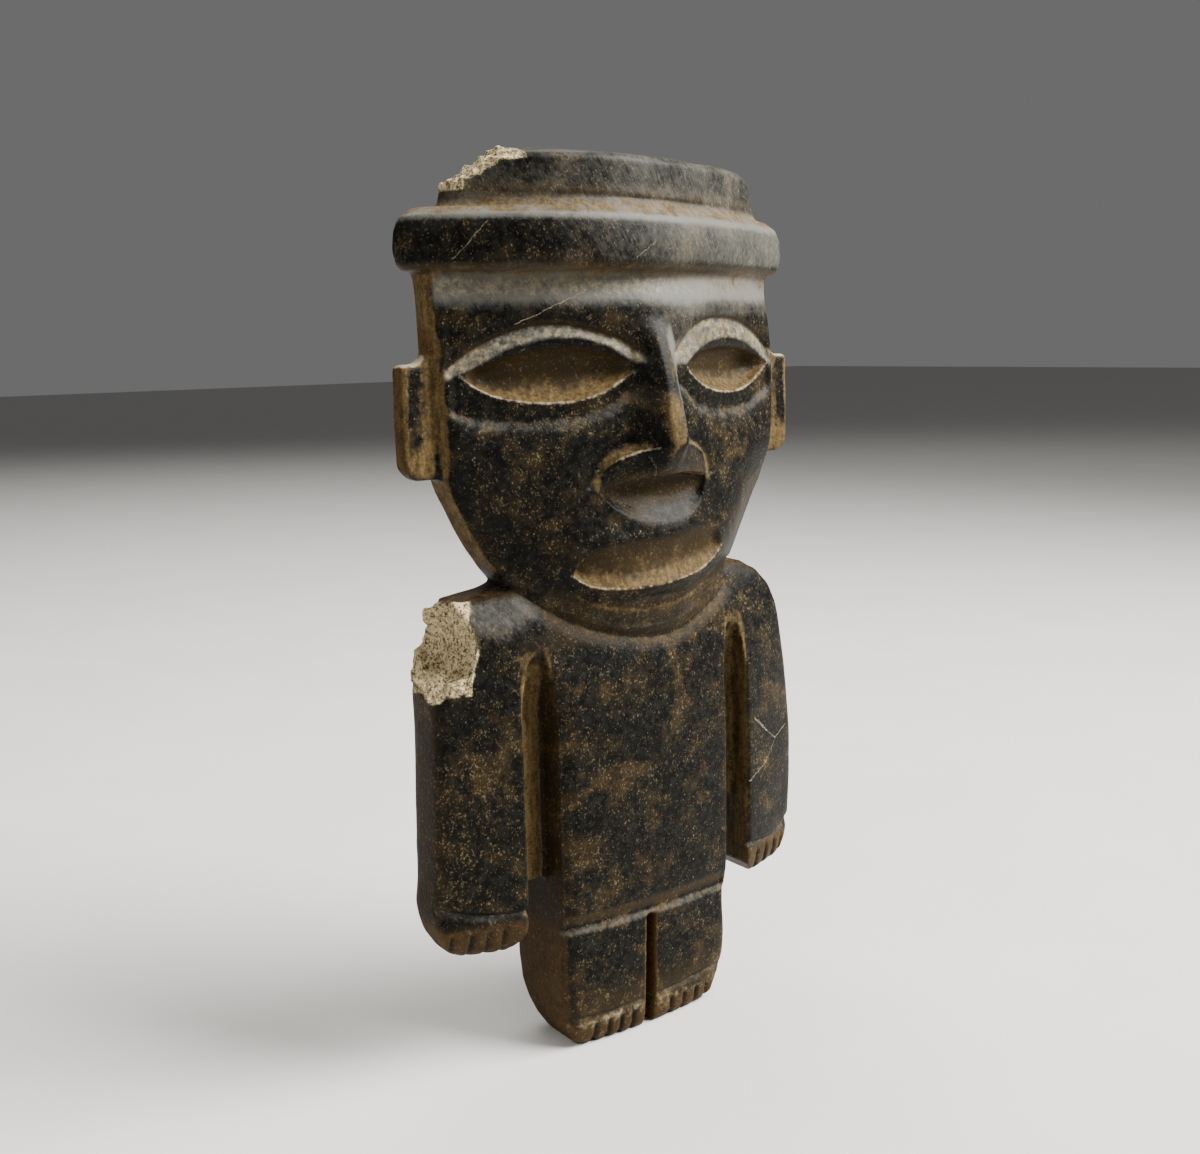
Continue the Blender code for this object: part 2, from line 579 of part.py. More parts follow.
def main():
    """Builds the figure."""
    for thing in list(bpy.data.objects):
        bpy.data.objects.remove(thing)
    collection = bpy.data.collections.new(NAME)
    cutters = bpy.data.collections.new("cutters")
    bpy.context.scene.collection.children.link(collection)
    bpy.context.scene.collection.children.link(cutters)

    figure = form(NAME, BODY, collection, front_count=18, rear_count=10)
    hem_half = CHANNEL_INNER + OVERRUN
    hem = block("hem", (-hem_half, -CLEAR, -BELOW), (hem_half, CLEAR, HEM_Z), cutters, HEM_TILT)
    combine(figure, hem, "DIFFERENCE")
    added = [form("legs", LEGS, cutters, front_count=10, rear_count=6),
             form("head", HEAD, cutters, front_count=18, rear_count=10),
             form("brim", BRIM, cutters, front_count=18, rear_count=10, skew=HEADDRESS_SKEW),
             form("crown", CROWN, cutters, front_count=16, rear_count=8, skew=HEADDRESS_SKEW),
             form("nose", NOSE, cutters, 8, 1, NOSE_CORNER, NOSE_CORNER)]
    added += [ear("ear_left", -1, cutters), ear("ear_right", 1, cutters)]
    for piece in added:
        combine(figure, piece, "UNION")
    breaks = [broken("crown_break", CROWN_BREAK_PLACE, CROWN_BREAK_SIZE, CROWN_BREAK_TURN,
                     CROWN_BREAK_BOXINESS, cutters),
              broken("shoulder_break", SHOULDER_BREAK_PLACE, SHOULDER_BREAK_SIZE, SHOULDER_BREAK_TURN,
                     SHOULDER_BREAK_BOXINESS, cutters)]
    for cutter in face_cutters(cutters) + limb_cutters(cutters) + breaks:
        combine(figure, cutter, "DIFFERENCE")
    figure.data.materials.append(stone())

    middle = bpy.data.objects.new("middle_of_the_ears", None)
    collection.objects.link(middle)
    middle.location.y = (NOSE_TIP - CALF_REAR) / 2
    for thing in list(collection.objects) + list(cutters.objects):
        if thing != middle:
            thing.parent = middle


main()
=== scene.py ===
"""The looks of a standing figure carved from one block of dark stone.

The solid of the figure gives the form. The skin made here starts as a copy of it, is rounded as long
handling rounds stone, and is then carved in full: lids, lips, nostrils, hem, wrists, fingers, toes
and the grain of the two fractures. Its finish is a worn polish with earth in the hollows, and with
sheen, highlights and shade painted into its colour along many slopes and lines.

Sizes are in millimetres. X and Z are the solid's own, from the middle of the soles, and the figure
faces -Y.
"""

import logging
import math
from collections.abc import Callable, Sequence
from dataclasses import dataclass, field
from enum import Enum
from itertools import product
from typing import Any

import bpy
import numpy as np
from mathutils import Matrix, Vector
from mathutils.bvhtree import BVHTree
from mathutils.kdtree import KDTree


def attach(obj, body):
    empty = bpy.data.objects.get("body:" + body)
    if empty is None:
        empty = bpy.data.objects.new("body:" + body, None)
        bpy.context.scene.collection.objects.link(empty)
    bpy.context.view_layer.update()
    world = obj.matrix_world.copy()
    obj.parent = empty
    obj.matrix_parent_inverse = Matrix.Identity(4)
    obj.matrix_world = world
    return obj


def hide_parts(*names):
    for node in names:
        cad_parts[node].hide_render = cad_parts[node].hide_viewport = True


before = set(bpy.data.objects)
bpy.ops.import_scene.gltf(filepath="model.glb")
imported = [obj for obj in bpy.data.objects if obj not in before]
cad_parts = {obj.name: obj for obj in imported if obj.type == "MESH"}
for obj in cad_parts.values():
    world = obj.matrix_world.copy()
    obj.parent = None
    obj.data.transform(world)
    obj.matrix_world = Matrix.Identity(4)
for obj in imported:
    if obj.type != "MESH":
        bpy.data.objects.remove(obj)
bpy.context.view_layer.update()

log = logging.getLogger("statuette")

MM = 0.001
NODE = "statuette"

Place = tuple[float, float]
Colour = tuple[float, float, float]
Array = np.ndarray
Socket = bpy.types.NodeSocket


class Tint(Enum):
    """The kinds of tint that colour the stone, some of them painted sheen, highlight or shade. DARK only
    takes from the others.
    """

    EARTH = "earth"
    # Worn pale edges, and in places painted highlights.
    WEAR_AND_HIGHLIGHT = "wear_and_highlight"
    RUST = "rust"
    # Brown stone, and along a few lines painted shade.
    BROWN = "brown"
    OCHRE = "ochre"
    # Pale grey: mostly painted sheen, on slopes and sides that face the light.
    DUST_AND_SHEEN = "dust_and_sheen"
    FRESH = "fresh"
    # Takes the other tints away, mostly as painted shade in lines and notches.
    DARK = "dark"


class Tints:
    """How strong each kind of tint is at each point of the skin."""

    def __init__(self, count: int) -> None:
        """Starts every kind at 0 for that many points."""
        self.values = {kind: np.zeros(count) for kind in Tint if kind is not Tint.FRESH}

    def add(self, where: Array, **strengths: float | Array) -> None:
        """Raises each kind of tint that is named, by its strength times the weight of each point."""
        for name, strength in strengths.items():
            self.values[Tint(name)] += strength * where

    def kept(self) -> dict[Tint, Array]:
        """What is left from 0 to 1 of each kind after DARK has taken its share.

        Returns:
            The values of each kind, for every point.
        """
        left = 1.0 - 0.9 * np.clip(self.values[Tint.DARK], 0.0, 1.0)
        return {kind: np.clip(values, 0.0, 1.0) * left
                for kind, values in self.values.items() if kind is not Tint.DARK}


def ease(low: float | Array, high: float | Array, value: Array) -> Array:
    """A smooth step.

    Args:
        low: where it starts to rise from 0.
        high: where it reaches 1.
        value: the numbers to step.

    Returns:
        A number from 0 to 1 for each value.
    """
    t = np.clip((value - low) / (high - low), 0.0, 1.0)
    return t * t * (3.0 - 2.0 * t)


def fall(low: float | Array, high: float | Array, value: Array) -> Array:
    """A smooth step down, from 1 at low to 0 at high."""
    return 1.0 - ease(low, high, value)


def within(low: float, high: float, soft: float, value: Array) -> Array:
    """1 between low and high, falling to 0 over the soft distance outside them."""
    return ease(low - soft, low, value) * fall(high, high + soft, value)


def patch(x: Array, z: Array, middle: Place, radii: Place, soft: float) -> Array:
    """An oval patch.

    Args:
        x, z: the points.
        middle: the oval's middle.
        radii: its half width and half height.
        soft: the share of its radius over which it fades.

    Returns:
        1 inside the oval and 0 outside it.
    """
    far = np.hypot((x - middle[0]) / radii[0], (z - middle[1]) / radii[1])
    return fall(1.0 - soft, 1.0 + soft, far)


@dataclass(frozen=True)
class Spot:
    """An oval patch of a tint, for stains and for painted sheen and shade: its middle, its half width and
    half height, and how strong and how soft it is.
    """

    tint: Tint
    middle: Place
    radii: Place
    strength: float
    soft: float = 0.8

    def add(self, x: Array, z: Array, where: Array, tints: Tints) -> None:
        """Adds the patch, weighted by a number from 0 to 1 for each point."""
        tints.values[self.tint] += self.strength * patch(x, z, self.middle, self.radii, self.soft) * where


@dataclass(frozen=True)
class Band:
    """A level band of a tint, for stains and for painted sheen and highlights: its lowest and highest height,
    and how soft and how strong it is.
    """

    tint: Tint
    low: float
    high: float
    soft: float
    strength: float

    def add(self, z: Array, where: Array | float, tints: Tints) -> None:
        """Adds the band, weighted by a number from 0 to 1 for each point."""
        tints.values[self.tint] += self.strength * within(self.low, self.high, self.soft, z) * where


class Grain:
    """Smooth noise in space, from a seeded lattice that repeats."""

    CELLS = 32

    def __init__(self, seed: int) -> None:
        """Fills the lattice from a seed."""
        self.lattice = np.random.default_rng(seed).uniform(-1.0, 1.0, (self.CELLS,) * 3)

    def at(self, places: Array, size: float) -> Array:
        """Noise with lumps of the given size.

        Args:
            places: the points.
            size: the size of the lumps.

        Returns:
            A number from -1 to 1 for each point.
        """
        scaled = places / size
        low = np.floor(scaled).astype(int)
        t = scaled - low
        t = t * t * (3.0 - 2.0 * t)
        total = np.zeros(len(places))
        for corner in product((0, 1), repeat=3):
            cell = (low + corner) % self.CELLS
            share = np.prod(np.where(corner, t, 1.0 - t), axis=1)
            total += share * self.lattice[cell[:, 0], cell[:, 1], cell[:, 2]]
        return total


class Skin:
    """The points of the figure's surface, in millimetres, read from its mesh and put back into it."""

    def __init__(self, thing: bpy.types.Object) -> None:
        """Reads the points, the way they face and the edges between them.

        Args:
            thing: the object whose mesh is read.
        """
        mesh = thing.data
        self.thing = thing
        self.places = self._read(mesh.vertices, "co", 3) / MM
        self.facing = self._read(mesh.vertices, "normal", 3)
        self.edges = self._read(mesh.edges, "vertices", 2, np.int32)
        ends = self.edges.ravel()
        self.count = np.maximum(np.bincount(ends, minlength=len(self.places)), 1)

    @staticmethod
    def _read(items: Any, name: str, width: int, kind: type = np.float32) -> Array:
        """One attribute of every item of a mesh.

        Args:
            items: the vertices or the edges.
            name: the attribute.
            width: how many numbers each item has.
            kind: the type of those numbers.

        Returns:
            A row for each item.
        """
        values = np.empty(len(items) * width, kind)
        items.foreach_get(name, values)
        return values.reshape(-1, width).astype(float if kind is np.float32 else int)

    @property
    def x(self) -> Array:
        """The points' places from left to right."""
        return self.places[:, 0]

    @property
    def y(self) -> Array:
        """The points' places from front to rear."""
        return self.places[:, 1]

    @property
    def z(self) -> Array:
        """The points' heights."""
        return self.places[:, 2]

    def average(self, values: Array) -> Array:
        """The mean of each point's neighbours.

        Args:
            values: a number for each point.

        Returns:
            The mean for each point.
        """
        near, far = self.edges.T
        total = np.bincount(near, values[far], len(values)) + np.bincount(far, values[near], len(values))
        return total / self.count

    def spread(self, values: Array, rounds: int) -> Array:
        """Blends each point's value half way with its neighbours, again and again.

        Args:
            values: a number for each point.
            rounds: how many times.

        Returns:
            The blended values.
        """
        for _ in range(rounds):
            values = 0.5 * (values + self.average(values))
        return values

    def bulge(self, rounds: int) -> Array:
        """How far each point stands out of its surroundings.

        Args:
            rounds: how wide those surroundings are, in steps from point to point.

        Returns:
            Above 0 on edges and below 0 in hollows.
        """
        rise = np.zeros(len(self.places))
        for axis in range(3):
            level = self.spread(self.places[:, axis], rounds)
            rise += (self.places[:, axis] - level) * self.facing[:, axis]
        return rise

    def put_back(self) -> None:
        """Gives the mesh the points as they are now."""
        mesh = self.thing.data
        mesh.vertices.foreach_set("co", (self.places * MM).astype(np.float32).ravel())
        mesh.update()

    def paint(self, kind: Tint, values: Array) -> None:
        """Keeps a tint's value from 0 to 1 for each point as an attribute of the mesh."""
        layer = self.thing.data.attributes.new(kind.value, "FLOAT", "POINT")
        layer.data.foreach_set("value", np.clip(values, 0.0, 1.0).astype(np.float32))


class Ground:
    """The plain surface under a carved part: a smooth sheet through the skin that is left plain."""

    def __init__(self, skin: Skin, plain: Array, degree: int) -> None:
        """Fits the sheet.

        Args:
            skin: the surface.
            plain: which of its points are left plain.
            degree: the highest power of the sheet.
        """
        x, z = skin.x[plain], skin.z[plain]
        self.middle = (x.mean(), z.mean())
        self.spans = (np.ptp(x) / 2, np.ptp(z) / 2)
        self.powers = [(i, j) for i in range(degree + 1) for j in range(degree + 1 - i)]
        self.weights = np.linalg.lstsq(self._terms(x, z), skin.y[plain], rcond=None)[0]

    def _terms(self, x: Array, z: Array) -> Array:
        """The powers of both directions at each point.

        Args:
            x, z: the points.

        Returns:
            A row of powers for each.
        """
        u = (x - self.middle[0]) / self.spans[0]
        v = (z - self.middle[1]) / self.spans[1]
        return np.stack([u ** i * v ** j for i, j in self.powers], axis=1)

    def at(self, x: Array, z: Array) -> Array:
        """The sheet's y at each point."""
        return self._terms(x, z) @ self.weights


@dataclass(frozen=True)
class Curve:
    """A line that runs smoothly through a few places, given from left to right or from below."""

    places: tuple[Place, ...]

    @property
    def start(self) -> float:
        """Where the line starts."""
        return self.places[0][0]

    @property
    def end(self) -> float:
        """Where the line ends."""
        return self.places[-1][0]

    def at(self, run: Array) -> Array:
        """The line's height at each place along it.

        Args:
            run: the places.

        Returns:
            The height at each, level beyond the line's ends.
        """
        xs, zs = np.array(self.places).T
        slopes = np.gradient(zs, xs)
        at = np.clip(np.searchsorted(xs, run) - 1, 0, len(xs) - 2)
        span = xs[at + 1] - xs[at]
        t = np.clip((run - xs[at]) / span, 0.0, 1.0)
        near = (1 + 2 * t) * (1 - t) ** 2 * zs[at] + t * (1 - t) ** 2 * span * slopes[at]
        far = t * t * (3 - 2 * t) * zs[at + 1] + t * t * (t - 1) * span * slopes[at + 1]
        return near + far

    def reach(self, x: Array, z: Array) -> Array:
        """How far each point is from the line.

        Args:
            x, z: the points.

        Returns:
            The distance of each.
        """
        runs = np.linspace(self.start, self.end, 60)
        heights = self.at(runs)
        nearest = np.full(len(x), np.inf)
        for run, height in zip(runs, heights):
            nearest = np.minimum(nearest, np.hypot(x - run, z - height))
        return nearest


@dataclass(frozen=True)
class Groove:
    """A line cut into the front, with a steep wall on its left hand and a gentle one on its right.

    The left hand is the upper side of a line that runs to the right.
    """

    path: tuple[Place, ...]
    depth: float
    left: float
    right: float
    fade: float = 2.0

    def points(self) -> Array:
        """The path with its corners rounded off twice.

        Returns:
            The places along it, one to a row.
        """
        line = np.array(self.path, float)
        for _ in range(2):
            if len(line) > 2:
                cuts = np.stack([0.75 * line[:-1] + 0.25 * line[1:], 0.25 * line[:-1] + 0.75 * line[1:]], 1)
                line = np.vstack([line[:1], cuts.reshape(-1, 2)[1:-1], line[-1:]])
        return line

    def sink(self, x: Array, z: Array) -> Array:
        """How deep the groove is at each point.

        Args:
            x, z: the points.

        Returns:
            The depth of each, 0 away from the groove.
        """
        line = self.points()
        nearest = np.full(len(x), np.inf)
        side = np.ones(len(x))
        along = np.zeros(len(x))
        run = 0.0
        for start, end in zip(line, line[1:]):
            way = end - start
            length = float(np.hypot(*way))
            share = np.clip(((x - start[0]) * way[0] + (z - start[1]) * way[1]) / length ** 2, 0, 1)
            off_x = x - start[0] - share * way[0]
            off_z = z - start[1] - share * way[1]
            far = np.hypot(off_x, off_z)
            closer = far < nearest
            nearest = np.where(closer, far, nearest)
            side = np.where(closer, np.sign(way[0] * off_z - way[1] * off_x), side)
            along = np.where(closer, run + share * length, along)
            run += length
        wall = np.where(side > 0, self.left, self.right)
        shape = np.clip(1.0 - nearest / wall, 0.0, 1.0)
        ends = ease(-0.01, self.fade, along) * ease(-0.01, self.fade, run - along)
        return self.depth * shape ** 1.2 * ends


def stepped(height: Array, levels: Sequence[tuple[Any, Any]]) -> Array:
    """A depth that changes with height, in straight runs between levels.

    Args:
        height: the points' heights.
        levels: (height, depth) of each level, from the highest down.

    Returns:
        The depth of each point.
    """
    least = 0.05
    depth = levels[0][1] + 0.0 * height
    for (upper, start), (lower, end) in zip(levels, levels[1:]):
        share = np.clip((upper - height) / np.maximum(upper - lower, least), 0.0, 1.0)
        depth = depth + (end - start) * share
    return depth


@dataclass(frozen=True)
class Eye:
    """An eye: the groove over the lid, the lid, the bowl with its sharp sill, and the groove below."""

    crease: Curve
    rim: Curve
    sill: Curve
    under: Curve
    hollow: float = 5.0
    crease_depth: float = 1.9
    rim_depth: float = 0.35
    under_depth: float = 1.5
    fade: float = 2.5

    def sink(self, x: Array, z: Array) -> Array:
        """How deep the eye is cut at each point.

        Args:
            x, z: the points.

        Returns:
            The depth of each.
        """
        crease, sill, under = (line.at(x) for line in (self.crease, self.sill, self.under))
        rim = np.maximum(self.rim.at(x), sill)
        crease = np.maximum(crease, rim + 0.6)
        under = np.minimum(under, sill - 0.8)
        tall = rim - sill
        wide = within(self.sill.start, self.sill.end, 0.6, x)
        share = ease(0.5, 10.0, tall) * wide
        edge = self.rim_depth
        floor = edge + (self.hollow - edge) * share
        levels = (
            (crease + 4.0, 0.0),
            (crease + 0.4, 0.5),
            (crease - 0.3, self.crease_depth),
            (rim + 0.4, edge + 0.15),
            (rim - 0.3, edge + 0.1),
            (rim - 0.16 * tall, edge + 0.7 * wide),
            (rim - 0.21 * tall, edge + 0.42 * (floor - edge) + 0.3 * wide),
            (rim - 0.31 * tall, edge + 0.76 * (floor - edge)),
            (rim - 0.44 * tall, edge + 0.96 * (floor - edge)),
            (sill + 0.4 * tall, floor),
            (sill + 0.24 * tall, edge + 0.84 * (floor - edge)),
            (sill + 0.11 * tall, edge + 0.55 * (floor - edge)),
            (sill + 0.35, edge + 0.3),
            (sill - 0.25, edge + 0.1),
            (under + 0.9, 0.8 * self.under_depth),
            (under - 0.2, self.under_depth),
            (under - 2.2, 0.42 * self.under_depth),
            (under - 5.5, 0.1 * self.under_depth),
            (under - 9.0, 0.0),
        )
        return stepped(z, levels) * within(self.crease.start, self.crease.end, self.fade, x)

    def bowl(self, x: Array, z: Array) -> Array:
        """Where the bowl of the eye is.

        Args:
            x, z: the points.

        Returns:
            1 in the bowl and 0 outside it.
        """
        inside = within(self.sill.start + 2.4, self.sill.end - 1.0, 1.4, x)
        top = self.rim.at(x) - 0.17 * (self.rim.at(x) - self.sill.at(x))
        return within(self.sill.at(x), top, 0.4, z) * inside

    def tint(self, x: Array, z: Array, face: Array, tints: Tints) -> None:
        """Says where the eye holds earth and worn pale rims, and where sheen, light and shade are painted on
        it.

        Args:
            x, z: the points.
            face: 1 for each point on the face, and 0 elsewhere.
            tints: the tints, which are raised.
        """
        crease, rim, sill, under = (line.at(x) for line in (self.crease, self.rim, self.sill, self.under))
        bowl = self.bowl(x, z) * face
        # Brown stone in the bowl, with earth that grows towards the sill, where it also stands in for painted
        # light on the lower wall, which faces up.
        low = fall(0.05, 0.52, (z - sill) / np.maximum(rim - sill, 1.0))
        tints.add(bowl, brown=1.0, earth=0.12 + 0.5 * low)
        tints.add(fall(0.15, 0.55, self.sill.reach(x, z)) * face, wear_and_highlight=0.8)
        across = within(self.crease.start, self.crease.end, 1.0, x) * face
        # Painted light on the lid's slope under the crease, which faces up, with earth.
        slope = within(rim, crease - 0.6, 0.5, z) * across
        tints.add(slope, earth=0.38, wear_and_highlight=0.38, dust_and_sheen=0.6)
        # Painted shadow along the crease, under the edge of the brow.
        tints.add(within(crease - 0.4, crease + 0.4, 0.5, z) * across, brown=0.8)
        # Painted light on the slope under the groove below the eye, which faces up, with earth.
        below = within(under - 2.6, under - 0.2, 1.2, z) * face
        below *= within(self.under.start + 1.0, self.under.end - 1.0, 3.0, x)
        tints.add(below, earth=0.3, dust_and_sheen=0.24)


@dataclass(frozen=True)
class Mouth:
    """The mouth: a bowl with a rounded upper edge and a sharp lower lip, shallower towards its far end."""

    upper: Curve
    lower: Curve
    hollow: float = 4.4
    shoaling: float = 0.5

    def sink(self, x: Array, z: Array) -> Array:
        """How deep the mouth is cut at each point.

        Args:
            x, z: the points.

        Returns:
            The depth of each.
        """
        low = self.lower.at(x)
        top = np.maximum(self.upper.at(x), low + 0.2)
        tall = top - low
        inside = within(self.lower.start, self.lower.end, 0.8, x)
        floor = self.hollow * ease(0.0, 6.5, tall) * inside * (1.0 - self.shoaling * ease(8.0, 24.0, x))
        levels = (
            (top + 0.8, 0.0),
            (top - 0.1, 0.2 * floor),
            (top - 0.16 * tall, 0.62 * floor),
            (top - 0.34 * tall, 0.92 * floor),
            (low + 0.5 * tall, floor),
            (low + 0.3 * tall, 0.86 * floor),
            (low + 0.14 * tall, 0.52 * floor),
            (low + 0.35, 0.14 * floor),
            (low - 0.3, 0.0),
        )
        return stepped(z, levels)

    def bowl(self, x: Array, z: Array) -> Array:
        """1 in the bowl of the mouth and 0 outside it."""
        inside = within(self.lower.start + 1.0, self.lower.end - 1.0, 1.0, x)
        return within(self.lower.at(x), self.upper.at(x) - 0.4, 0.4, z) * inside

    def tint(self, x: Array, z: Array, face: Array, tints: Tints) -> None:
        """Says where the mouth holds earth and worn pale rims, and where light is painted in its bowl, as an
        eye does.

        Args:
            x, z: the points.
            face: 1 for each point on the face, and 0 elsewhere.
            tints: the tints, which are raised.
        """
        upper, lower = self.upper.at(x), self.lower.at(x)
        bowl = self.bowl(x, z) * face
        # Brown stone in the bowl, with earth that grows towards the lower lip, where it also stands in for
        # painted light on the wall that faces up.
        low = fall(0.05, 0.6, (z - lower) / np.maximum(upper - lower, 1.0))
        tints.add(bowl, brown=1.0, earth=0.2 + 0.42 * low)
        tints.add(fall(0.15, 0.6, self.lower.reach(x, z)) * face, wear_and_highlight=0.8)


@dataclass(frozen=True)
class Lip:
    """The upper lip: the hollow under the nose, and the slope that rises out of it to a crest."""

    crest: Curve = Curve(((-18.2, 153.2), (-14.0, 148.8), (-8.0, 145.4), (0.0, 143.6), (7.0, 143.4),
                          (13.0, 145.6), (16.6, 149.4), (18.2, 153.6)))
    levels: tuple[Place, ...] = ((0.02, 0.96), (0.2, 1.0), (0.46, 0.92), (0.68, 0.66), (0.86, 0.26),
                                 (1.0, -0.04), (1.12, -0.08), (1.3, 0.0), (1.5, 0.06))
    depth: float = 2.5
    tall: float = 8.0
    half: float = 17.4

    def run(self, x: Array, z: Array, base: Array) -> Array:
        """How far each point is from the nose's base line to the crest, as a share of that way."""
        return (base - z) / self._height(x, base)

    def _height(self, x: Array, base: Array) -> Array:
        """The height from the crest up to the nose's base line."""
        return np.maximum(base - self.crest.at(x), 0.6)

    def sink(self, x: Array, z: Array, base: Array) -> Array:
        """How deep the lip is cut at each point below the nose's base line.

        Args:
            x, z: the points.
            base: the height of the nose's base line at each.

        Returns:
            The depth of each.
        """
        run = self.run(x, z, base)
        levels = tuple((-place, depth) for place, depth in self.levels)
        lip = stepped(-run, levels) * self.depth * np.clip(self._height(x, base) / self.tall, 0.0, 1.2)
        lip *= fall(1.5, 2.2, run)
        return lip * fall(self.half - 0.8, self.half + 1.2, np.abs(x))

    def tint(self, x: Array, z: Array, base: Array, face: Array, tints: Tints) -> None:
        """Says where the lip holds earth, and where sheen is painted on its slope.

        Args:
            x, z: the points.
            base: the height of the nose's base line at each.
            face: 1 for each point on the face, and 0 elsewhere.
            tints: the tints, which are raised.
        """
        run = self.run(x, z, base)
        hollow = within(0.0, 0.5, 0.25, run) * fall(self.half - 1.0, self.half, np.abs(x)) * face
        tints.add(hollow, brown=0.9, earth=0.05)
        # Painted sheen on the slope that rises to the crest and faces the light.
        lit = within(0.74, 0.96, 0.16, run) * fall(self.half - 5.0, self.half, np.abs(x))
        tints.add(lit * face * ease(-14.0, 4.0, x), dust_and_sheen=0.2)


@dataclass(frozen=True)
class Nose:
    """The nose: a narrow bar with steep sides, and wings with a crisp edge and a plane that turns under."""

    ridge: Curve = Curve(((163.0, -21.7), (166.0, -21.6), (170.0, -20.8), (174.0, -19.7), (178.0, -18.5),
                          (182.0, -17.4), (186.0, -16.0), (190.0, -14.2), (194.0, -12.7), (198.0, -11.8)))
    half: Curve = Curve(((163.0, 9.0), (170.0, 8.3), (178.0, 7.2), (186.0, 6.2), (192.0, 5.2), (198.0, 4.6)))
    ridge_x: float = -0.7
    edge: Curve = Curve(((-17.3, 154.6), (-16.7, 157.0), (-15.0, 159.5), (-11.0, 161.8), (-7.3, 162.9),
                         (-4.0, 163.7), (0.0, 164.2), (4.0, 163.9), (8.0, 163.2), (12.4, 161.8),
                         (15.2, 159.8), (16.8, 157.4), (17.8, 154.6)))
    swell: Curve = Curve(((-17.3, 0.5), (-15.0, 2.0), (-11.0, 3.3), (-7.5, 4.5), (-4.0, 5.4), (4.0, 5.4),
                          (7.5, 4.4), (11.0, 3.0), (15.0, 1.6), (17.8, 0.3)))
    base: Curve = Curve(((-17.3, 153.6), (-15.8, 154.0), (-8.8, 155.3), (0.0, 156.0), (8.0, 155.8),
                         (18.4, 154.4)))
    base_swell: Curve = Curve(((-17.3, 0.0), (-14.0, 0.9), (-11.0, 1.8), (-8.0, 2.6), (-4.0, 3.8), (0.0, 4.4),
                               (4.0, 3.8), (8.0, 2.6), (11.0, 1.8), (14.0, 0.9), (18.4, 0.0)))
    band: float = 2.5
    band_depth: float = 0.7
    tip: Spot = Spot(Tint.EARTH, (-1.6, 169.0), (2.8, 7.5), 0.6, 0.5)
    tip_ochre: Spot = Spot(Tint.OCHRE, (-1.6, 169.0), (2.8, 7.5), 0.8, 0.5)
    bridge: Spot = Spot(Tint.EARTH, (0.4, 181.0), (2.0, 8.0), 0.4, 0.6)
    # Painted light on the nose's side that faces +X.
    far_side: Spot = Spot(Tint.DUST_AND_SHEEN, (4.4, 182.0), (4.6, 15.0), 0.7, 0.6)

    def bar(self, x: Array, z: Array, level: Array) -> Array:
        """The nose's bar.

        Args:
            x, z: the points.
            level: the face's plain y at each.

        Returns:
            How far forward of that level each point is.
        """
        t = np.hypot(np.abs(x - self.ridge_x) / self.half.at(z), 0.14) - 0.14
        rise = np.clip(1.06 - 0.3 * t - 0.86 * ease(0.0, 1.15, t), 0.0, 1.0)
        top = fall(192.0, 198.0, z)
        return np.minimum(self.ridge.at(z) - level, 0.0) * rise * top

    def front(self, x: Array, z: Array, level: Array) -> Array:
        """The nose's form above its base line.

        Args:
            x, z: the points.
            level: the face's plain y at each.

        Returns:
            How far each point stands from that level, below 0 where it is forward of it.
        """
        edge, base = self.edge.at(x), self.base.at(x)
        inside = within(self.edge.start, self.edge.end, 0.2, x)
        away = self.edge.reach(x, z)
        outer = -self.swell.at(x) * (1.0 - np.clip(away / self.band, 0.0, 1.0)) ** 1.6
        outer += self.band_depth * np.exp(-((away - self.band) / 1.2) ** 2)
        bar = self.bar(x, z, level)
        above = np.where(bar < -0.6, np.minimum(bar, outer), outer + bar)
        lip = np.minimum(self.bar(x, edge, level), -self.swell.at(x))
        share = np.clip((edge - z) / np.maximum(edge - base, 0.3), 0.0, 1.0)
        under = lip + (-self.base_swell.at(x) - lip) * share
        return np.where((z < edge) & (inside > 0.5), under, above)

    def tint(self, skin: Skin, face: Array, tints: Tints) -> None:
        """Says where the nose holds earth and worn pale edges, and where light is painted on it.

        Args:
            skin: the surface.
            face: 1 for each point on the face, and 0 elsewhere.
            tints: the tints, which are raised.
        """
        x, y, z = skin.places.T
        away = self.edge.reach(x, z)
        # The band round each wing: earth, with painted light where the band faces up.
        wing = (z > self.edge.at(x)) | (x < self.edge.start) | (x > self.edge.end)
        wing = wing * fall(0.8, 3.4, away) * ease(5.2, 7.2, np.abs(x)) * face
        tints.add(wing, earth=0.6, dust_and_sheen=0.3)
        tints.add(fall(0.15, 0.5, away) * (x < -5.0) * (x > -15.0) * face, wear_and_highlight=0.9)
        tints.add(fall(0.1, 0.4, self.base.reach(x, z)) * face, wear_and_highlight=0.5)
        self.tip.add(x, z, y < -10.0, tints)
        self.tip_ochre.add(x, z, y < -10.0, tints)
        self.bridge.add(x, z, y < -8.0, tints)
        # The nose's side that faces +X is painted lighter, as the key light falls on it.
        self.far_side.add(x, z, ease(0.15, 0.5, skin.facing[:, 0]) * face, tints)


